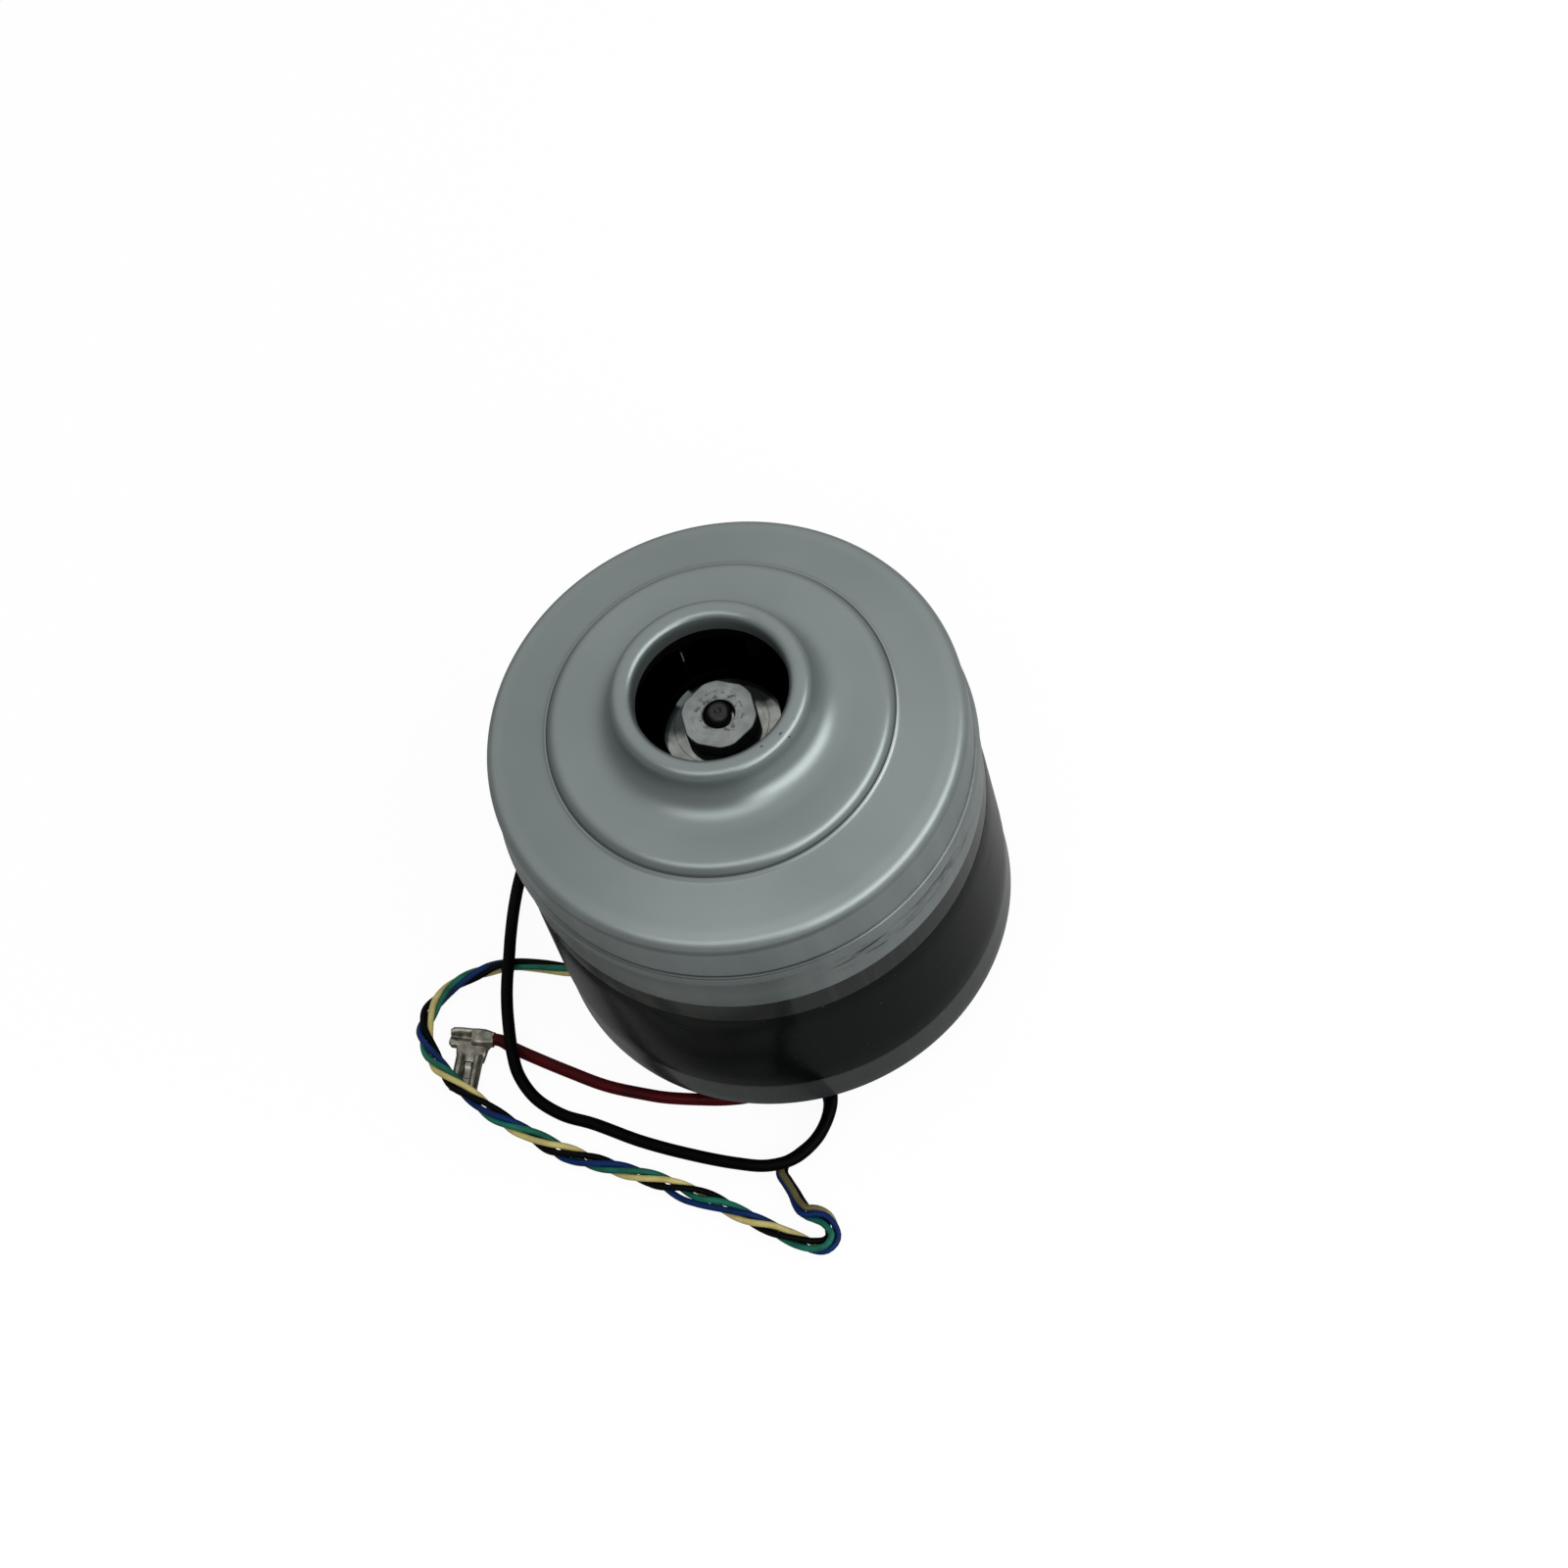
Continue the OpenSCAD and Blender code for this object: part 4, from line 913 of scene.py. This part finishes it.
def plug_piece(finish):
    """Four-way plug: a housing with its ways open from end to end, a latch and keying ribs."""
    length, width, low, high, way = 11.0, 11.4, 0.06, 6.05, 1.9
    ys = [-width / 2]
    for k in range(4):
        centre = (k - 1.5) * PLUG_PITCH
        ys += [centre - way / 2, centre + way / 2]
    ys.append(width / 2)
    zs = [low, 3 - way / 2, 3 + way / 2, high]
    piece = placed("signal_plug", bpy.data.meshes.new("signal_plug"))
    work = bmesh.new()
    ends = [[[work.verts.new(Vector((x, y, z)) * MM) for z in zs] for y in ys] for x in (0.0, length)]

    def hole(j, k):
        return k == 1 and j % 2 == 1

    for j in range(len(ys) - 1):
        for k in range(3):
            if not hole(j, k):
                for end in ends:
                    work.faces.new((end[j][k], end[j + 1][k], end[j + 1][k + 1], end[j][k + 1]))
            for dj, dk, a, b in ((-1, 0, (j, k), (j, k + 1)), (1, 0, (j + 1, k), (j + 1, k + 1)),
                                 (0, -1, (j, k), (j + 1, k)), (0, 1, (j, k + 1), (j + 1, k + 1))):
                nj, nk = j + dj, k + dk
                outside = not (0 <= nj < len(ys) - 1 and 0 <= nk < 3)
                wall = (not hole(j, k)) and (outside or hole(nj, nk))
                if wall:
                    near, far = ([end[p][q] for p, q in (a, b)] for end in ends)
                    work.faces.new((*near, *reversed(far)))
    latch = ((2.0, 9.5, -1.6, 1.6, high - 0.1, high + 0.75), (7.9, 9.5, -1.6, 1.6, high + 0.6, high + 1.25))
    ribs = ((0.6, 10.4, -width / 2 + 1, -width / 2 + 1.8, high - 0.1, high + 0.4),
            (0.6, 10.4, width / 2 - 1.8, width / 2 - 1, high - 0.1, high + 0.4))
    for x0, x1, y0, y1, z0, z1 in latch + ribs:
        box = bmesh.ops.create_cube(work, size=1)
        for v in box["verts"]:
            v.co = Vector(((x0 + x1) / 2 + v.co.x * (x1 - x0), (y0 + y1) / 2 + v.co.y * (y1 - y0),
                           (z0 + z1) / 2 + v.co.z * (z1 - z0))) * MM
    bmesh.ops.recalc_face_normals(work, faces=work.faces)
    work.to_mesh(piece.data)
    work.free()
    piece.data.materials.append(finish)
    edge = piece.modifiers.new("edge", "BEVEL")
    edge.width = 0.18 * MM
    edge.segments = 2
    edge.limit_method = "ANGLE"
    modifier_mesh(piece)
    way_on = Vector(SIGNAL_ROUTE[-1]) - Vector(SIGNAL_ROUTE[-2])
    foot = Vector((SIGNAL_ROUTE[-1][0], SIGNAL_ROUTE[-1][1], 0)) * MM
    piece.data.transform(Matrix.Translation(foot) @ Matrix.Rotation(math.atan2(way_on.y, way_on.x), 4, "Z"))
    return settle(piece, 30)


def make_leads():
    """Both supply leads, the four signal wires and what they end in."""
    tin = tinned_sheet()
    black = insulation("black_insulation", (2, 2, 2), (4, 4, 4), 0.03)
    red = insulation("red_insulation", (64, 5, 10), (44, 4, 7), 0.06)
    tints = {"cream": insulation("cream_insulation", (186, 174, 112), (156, 144, 86), 0.2, 0.85),
             "green": insulation("green_insulation", (20, 100, 80), (11, 66, 56), 0.15),
             "blue": insulation("blue_insulation", (5, 36, 86), (3, 23, 60), 0.1),
             "black": insulation("thin_black_insulation", (3, 3, 4), (6, 6, 7), 0.04)}
    for name, route, finish, side, slot in (("black", BLACK_ROUTE, black, -1, "black_wire"),
                                            ("red", RED_ROUTE, red, 1, "red_wire")):
        flag = flag_terminal(name + "_flag_terminal", route, side, tin)
        tip = rides(flag, "housing", "tinned", name + "_terminal")
        line = smooth_path(route)
        lead = lead_piece(name + "_supply_lead", line, LEAD_R, finish)
        piece = rides(lead, "housing", slot, name + "_lead")
        path_length(line)
    nylon = moulded_plastic("plug_nylon", (226, 223, 212), (208, 204, 190))
    plug = rides(plug_piece(nylon), "housing", "white_plastic", "signal_connector")
    for name, line in wire_lines().items():
        wire = lead_piece("signal_wire_" + name, line, SIGNAL_WIRE_R, tints[name])
        piece = rides(wire, "housing", "signal_wire", "signal_bundle")
        path_length(line)


def cover_line(inset):
    """The cover's section line, drawn in by the inset, from the skirt up to the inside of the lip."""
    lowered = inset / math.cos(SLOPE)
    step_c, edge_z = STEP_R - STEP_EDGE, Z_STEP - STEP_EDGE
    edge = STEP_EDGE - inset
    crease_r = step_c + (edge if inset else math.sqrt(STEP_EDGE ** 2 - (Z_CREASE - edge_z) ** 2))
    crease_z = Z_CREASE - lowered + (STEP_R - crease_r) * math.tan(SLOPE)
    start = 0 if inset else math.degrees(math.asin((crease_z - edge_z) / edge))
    line = [(CASING_R - inset, Z_SKIRT), (CASING_R - inset, (Z_SKIRT + Z_CORNER) / 2)]
    line += arc(CORNER_C_R, Z_CORNER, CORNER - inset, 0, 70, 12)
    first, last = line[-1], (crease_r, crease_z)
    line += [tuple(p + (q - p) * k / 6 for p, q in zip(first, last)) for k in range(1, 6)]
    if inset == 0:
        ridge = ((1.3, 0.0), (1.1, 0.03), (0.85, 0.14), (0.6, 0.2), (0.4, 0.15), (0.2, 0.0))
        line += [(last[0] + out, last[1] - out * math.tan(SLOPE) + up) for out, up in ridge]
    line.append(last)
    line += arc(step_c, edge_z, edge, start, 90, 12)[0 if inset else 1:]
    line += [(step_c + (FLAT_R - step_c) * k / 4, Z_STEP - inset) for k in range(1, 4)]
    line += arc(FLAT_R, Z_STEP + LIP_FILLET, LIP_FILLET + inset, -90, -180, 16)
    line += arc(LIP_C_R, Z_LIP_C, LIP_BEAD_R - inset, 0, 180, 24)
    line.append((EYE_R + inset, Z_LIP_LOW))
    return line


def make_casing():
    """Cover, shell, can, film and rubber ring: the turned pieces outside."""
    zinc = zinc_sheet()
    inside = list(reversed(cover_line(SHEET)))
    rides(turned("fan_cover_sheet", cover_line(0) + inside, zinc, 256), "housing", "zinc_sheet", "fan_cover")
    wall, floor, hole, seat = CASING_R - SHEET, Z_CAN + SHEET, 47.6, Z_SKIRT - 0.02
    shell = [(hole, Z_CAN)] + arc(wall, floor, SHEET, -90, 0, 6)
    shell += [(CASING_R, 75.0), (CASING_R, 80.6), (60.12, 81.0), (60.45, 81.5), (60.75, 82.1), (60.86, 82.8),
              (60.82, 83.6), (60.7, 84.6), (60.55, 85.4)]
    shell += arc(60.2, 85.6, 0.35, 0, 75, 5) + [(CASING_R + 0.01, Z_SHELL), (CASING_R + 0.01, seat)]
    shell += [(wall, seat), (wall, floor), (hole, floor)]
    rides(turned("fan_shell_sheet", shell, zinc, 256, 40), "housing", "zinc_sheet", "fan_shell")
    can = arc(CAN_R - SHEET / 2, Z_RIM + SHEET / 2, SHEET / 2, -180, 0, 8)
    can += [(CAN_R, z) for z in (12, 20, 30, 40, 50, 60, Z_CAN - 0.02)] + [(CAN_R - SHEET, Z_CAN - 0.02)]
    rides(turned("motor_can_sheet", can, can_steel(), 256), "housing", "can_grey", "motor_can")
    film = [(WRAP_IN, Z_WRAP_LOW), (WRAP_IN + 0.04, Z_WRAP_LOW), (WRAP_OUT - 0.06, Z_WRAP_LOW + 3)]
    film += [(WRAP_OUT, Z_WRAP_LOW + 6 + (Z_WRAP_TOP - Z_WRAP_LOW - 12) * k / 12) for k in range(13)]
    film += [(WRAP_OUT - 0.06, Z_WRAP_TOP - 3), (WRAP_IN + 0.04, Z_WRAP_TOP), (WRAP_IN, Z_WRAP_TOP)]
    sleeve = turned("can_film", film, black_film(), 360, 50)
    for v in sleeve.data.vertices:
        reach = math.hypot(v.co.x, v.co.y)
        if reach > (WRAP_IN + 0.1) * MM:
            angle = math.degrees(math.atan2(v.co.y, v.co.x)) % 360
            lap = 0.16 * max(0.0, min(1.0, (angle - 96) / 1.0, (110 - angle) / 1.0))
            edge = 1 - min(1.0, (Z_WRAP_TOP * MM - v.co.z) / (5 * MM), (v.co.z - Z_WRAP_LOW * MM) / (5 * MM))
            pucker = 0.05 * max(0.0, edge) * math.sin(math.radians(angle) * 70)
            grow_by = 1 + (lap + pucker) * MM / reach
            v.co.x *= grow_by
            v.co.y *= grow_by
    rides(sleeve, "housing", "black_film", "can_wrap")
    ring = arc(28.2, 0.8, 0.8, -90, 0, 5) + [(29, 4.6), (28.4, 5.2), (28.4, 6.8), (29, 7.4)]
    ring += arc(28.0, 11.0, 1.0, 0, 90, 5) + [(22.02, 12.0), (22.02, 1.0), (17.0, 1.0), (17.0, 0.0)]
    rides(turned("rear_mount_rubber", ring, rubber(), 128), "housing", "black_rubber", "rear_mount")


RING_TURNS = [math.tau * k / 144 for k in range(144)]


def nut_ring(inset, height):
    """The nut's outline, a hexagon with its corners turned round, drawn in and set at a height."""
    ring = []
    for a in RING_TURNS:
        off = (a - math.radians(NUT_TURN + 30)) % (math.pi / 3)
        flat = NUT_FLAT / math.cos(min(off, math.pi / 3 - off))
        reach = min(flat, NUT_R) - inset
        ring.append((reach * math.cos(a), reach * math.sin(a), height))
    return ring


def round_ring(radius, height):
    return [(radius * math.cos(a), radius * math.sin(a), height) for a in RING_TURNS]


def vane_mesh():
    """One curved impeller vane with a rounded leading edge."""
    bend, thick, first, last = 34.0, 0.9, 24.0, 49.6
    foot, crown, edge = Z_BACK_TOP + 0.02, 105.9, 101.05
    neck_r, rim_r = 27.9, 50
    work = bmesh.new()
    rows = []
    for k in range(17):
        reach = first + (last - first) * k / 16
        dip = reach * reach / (2 * (bend + thick / 2))
        along = math.sqrt(max(reach * reach - dip * dip, 0.0))
        half = thick / 2 * min(1.0, 0.35 + (reach - first) / 1.2)
        centre = Vector((along, -dip, 0))
        out = (centre - Vector((0, -bend - thick / 2, 0))).normalized()
        ceiling = crown + (edge - crown) * max(0.0, reach - neck_r) / (rim_r - neck_r)
        rows.append([work.verts.new((centre + out * s * half + Vector((0, 0, z))) * MM)
                     for s, z in ((-1, foot), (1, foot), (1, ceiling), (-1, ceiling))])
    for low, high in zip(rows, rows[1:]):
        for k in range(4):
            work.faces.new((low[k], low[(k + 1) % 4], high[(k + 1) % 4], high[k]))
    work.faces.new(rows[0])
    work.faces.new(rows[-1])
    mesh = bpy.data.meshes.new("vane")
    work.to_mesh(mesh)
    work.free()
    return mesh


def make_rotor():
    """What shows through the inlet: nut, shaft end, washer, hub, vanes and front disc."""
    hub, dark = hub_alloy(), dark_alloy()
    nut = [round_ring(STUB_R + 0.05, Z_WASHER), nut_ring(0.25, Z_WASHER), nut_ring(0, Z_WASHER + 0.25)]
    nut += [nut_ring(inset, Z_NUT - drop) for inset, drop in ((0, 0.7), (0.05, 0.3), (0.18, 0.1),
                                                              (0.34, 0.02), (0.5, 0))]
    nut += [round_ring(RECESS_R + more, Z_NUT - drop) for more, drop in ((1.6, 0), (0.25, 0), (0, 0.22),
                                                                         (-0.05, RECESS_H))]
    nut.append(round_ring(STUB_R + 0.05, Z_NUT - RECESS_H))
    nut.append(nut[0])
    rides(loft("shaft_nut", nut, nut_steel(), 40), "rotor", "steel", "impeller_nut")
    washer = [(STUB_R + 0.06, Z_HUB), (11.8, Z_HUB), (11.8, Z_WASHER - 0.06), (11.74, Z_WASHER),
              (STUB_R + 0.06, Z_WASHER)]
    rides(turned("clamp_washer_disc", washer, hub, 128), "rotor", "steel", "clamp_washer")
    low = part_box("rotor_shaft")[0].z / MM
    stem = [(0.0005, low), (3.4, low), (4.0, low + 0.6), (4.0, Z_HUB), (STUB_R, Z_HUB)]
    for k in range(14):
        z = Z_WASHER - 1.2 + k * 0.45
        stem.append((STUB_R - (0.22 if k % 2 else 0.0), z))
    stem += [(STUB_R, Z_STUB - 0.7), (STUB_R - 0.45, Z_STUB - 0.12), (STUB_R - 0.7, Z_STUB), (0.9, Z_STUB),
             (0.55, Z_STUB - 0.35), (0.0005, Z_STUB - 0.35)]
    rides(turned("rotor_shaft_steel", stem, shaft_steel(), 96, 40), "rotor", "steel", "rotor_shaft")
    disc = [(4.02, 92.2), (49.7, 92.2), (50.0, 92.5), (50.0, 93.1), (49.7, Z_BACK_TOP), (23.0, Z_BACK_TOP)]
    disc += [(20.6, 94.6), (19.0, 96.4), (17.4, 98.6), (16.4, 100.6), (15.7, 102.2)]
    disc += arc(14.6, Z_WASHER - 0.65, 0.6, 0, 90, 4)
    disc += [(11.85, Z_WASHER - 0.05), (11.85, Z_HUB), (4.02, Z_HUB)]
    rides(turned("impeller_hub_disc", disc, hub, 192), "rotor", "impeller_alloy", "impeller_back_disc")
    shroud = [(50.0, 101.1), (50.0, 101.95), (39.0, 104.35), (27.9, 106.8), (25.2, 107.7), (23.3, 108.7),
              (22.6, 109.8), (22.6, 115.2), (22.4, 115.4), (21.8, 115.4), (21.6, 115.2), (21.6, 109.2),
              (22.4, 108.1), (24.6, 106.9), (27.9, 105.95), (39.0, 103.5)]
    rides(turned("impeller_front_shroud", shroud, dark, 192), "rotor", "impeller_alloy",
          "impeller_front_disc")
    rides(circled("impeller_vane_set", vane_mesh(), 9, 0, dark), "rotor", "impeller_alloy", "impeller_vanes")


def finish_solids():
    """Finishes for the pieces whose solids stay as they are."""
    alloy, steel, stack = cast_alloy(), bearing_steel(), lamination()
    plan = dict.fromkeys(("bracket_screws", "board_screws", "front_bearing_outer", "front_bearing_balls",
                          "rear_bearing_outer", "rear_bearing_balls", "front_bearing_inner",
                          "rear_bearing_inner", "preload_washer", "impeller_spacer"), steel)
    plan |= {"front_bracket": alloy, "end_plate": alloy, "stator_core": stack, "rotor_core": stack,
             "inlet_seal": seal_foam(), "stator_coils": winding_copper(), "driver_board": board_resin(),
             "lead_grommet": rubber(), "rotor_magnets": magnet_grey()}
    for name, label, colour, other, *rough in (
            ("diffuser", "diffuser_plastic", (34, 36, 38), (46, 48, 50)),
            ("coil_bobbins", "bobbin_nylon", (222, 218, 204), (206, 200, 184)),
            ("board_capacitors", "capacitor_sleeve", (26, 30, 58), (38, 42, 76), 0.25),
            ("power_transistors", "transistor_resin", (26, 26, 27), (38, 38, 39))):
        plan[name] = moulded_plastic(label, colour, other, *rough)
    for name, finish in plan.items():
        cad[name].data.materials.clear()
        cad[name].data.materials.append(finish)


def make_stage():
    """White floor with a soft shadow, a studio surround, a soft box at the right and a weak one in front."""
    scene = bpy.context.scene
    scene.view_settings.view_transform = "Standard"
    floor = placed("floor", bpy.data.meshes.new("floor"))
    half, under = 4, -0.0002
    corners = [(x * half, y * half, under) for x, y in ((-1, -1), (1, -1), (1, 1), (-1, 1))]
    floor.data.from_pydata(corners, [], [(0, 1, 2, 3)])
    paper = bpy.data.materials.new("floor_paper")
    paper.use_nodes = True
    t = Tree(paper.node_tree)
    t.tree.nodes.clear()
    seen = t.node("ShaderNodeLightPath", None, None, "Is Camera Ray")
    mirrored = t.node("ShaderNodeLightPath", None, None, "Is Glossy Ray")
    through = t.node("ShaderNodeLightPath", None, None, "Is Transmission Ray")
    tone = t.node("ShaderNodeMix", {"data_type": "RGBA"},
                  {"Factor_Float": seen, "A_Color": (0.34, 0.34, 0.34, 1), "B_Color": (0.9, 0.9, 0.9, 1)},
                  "Result_Color")
    matt = t.node("ShaderNodeBsdfDiffuse", None, {"Color": tone})
    glow = t.node("ShaderNodeEmission", None, {"Color": (1, 1, 1, 1), "Strength": 1.0})
    x, _, _ = t.parts(t.node("ShaderNodeTexCoord", None, None, "Object"))
    bright = t.node("ShaderNodeMapRange", {"interpolation_type": "SMOOTHSTEP"},
                    {"Value": x, "From Min": -0.05, "From Max": 0.09, "To Min": 0.0, "To Max": 0.17})
    share = seen * 0.94 + mirrored * bright + through * 0.94
    blend = t.node("ShaderNodeMixShader", None, {0: share, 1: matt, 2: glow})
    end = t.tree.nodes.new("ShaderNodeOutputMaterial")
    t.tree.links.new(blend.socket, end.inputs[0])
    floor.data.materials.append(paper)

    world = bpy.data.worlds.new("studio")
    scene.world = world
    world.use_nodes = True
    w = Tree(world.node_tree)
    w.tree.nodes.clear()
    ray = w.node("ShaderNodeTexCoord", None, None, "Generated")
    lean = w.node("ShaderNodeVectorMath", {"operation": "DOT_PRODUCT"}, {0: ray, 1: (0.14, 0.5, 0.9)},
                  "Value")
    level = w.node("ShaderNodeMapRange", {"interpolation_type": "SMOOTHSTEP"},
                   {"Value": lean, "From Min": 0.0, "From Max": 1.0, "To Min": 0.32, "To Max": 0.95})
    seen = w.node("ShaderNodeLightPath", None, None, "Is Camera Ray")
    strength = seen + (1 - seen) * level
    sky = w.node("ShaderNodeBackground", None, {"Color": (1, 1, 1, 1), "Strength": strength})
    end = w.tree.nodes.new("ShaderNodeOutputWorld")
    w.tree.links.new(sky.socket, end.inputs[0])

    for name, azimuth, height, away, wide, tall, watts in (("right_box", -42, 28, 0.9, 1.45, 0.42, 7.2),
                                                           ("front_wash", -114, 50, 1.0, 1.1, 0.42, 2.8)):
        lamp = bpy.data.lights.new(name, "AREA")
        lamp.shape = "RECTANGLE"
        lamp.size = wide
        lamp.size_y = tall
        lamp.energy = watts
        a, e = math.radians(azimuth), math.radians(height)
        to_lamp = Vector((math.cos(a) * math.cos(e), math.sin(a) * math.cos(e), math.sin(e)))
        box = placed(name, lamp)
        box.location = Vector((0, 0, 0.1)) + to_lamp * away
        box.rotation_mode = "QUATERNION"
        box.rotation_quaternion = to_lamp.to_track_quat("Z", "Y")


TURNING = turning_tree()
CIRCLING = circling_tree()
make_camera()
make_leads()
make_casing()
make_rotor()
finish_solids()
make_stage()
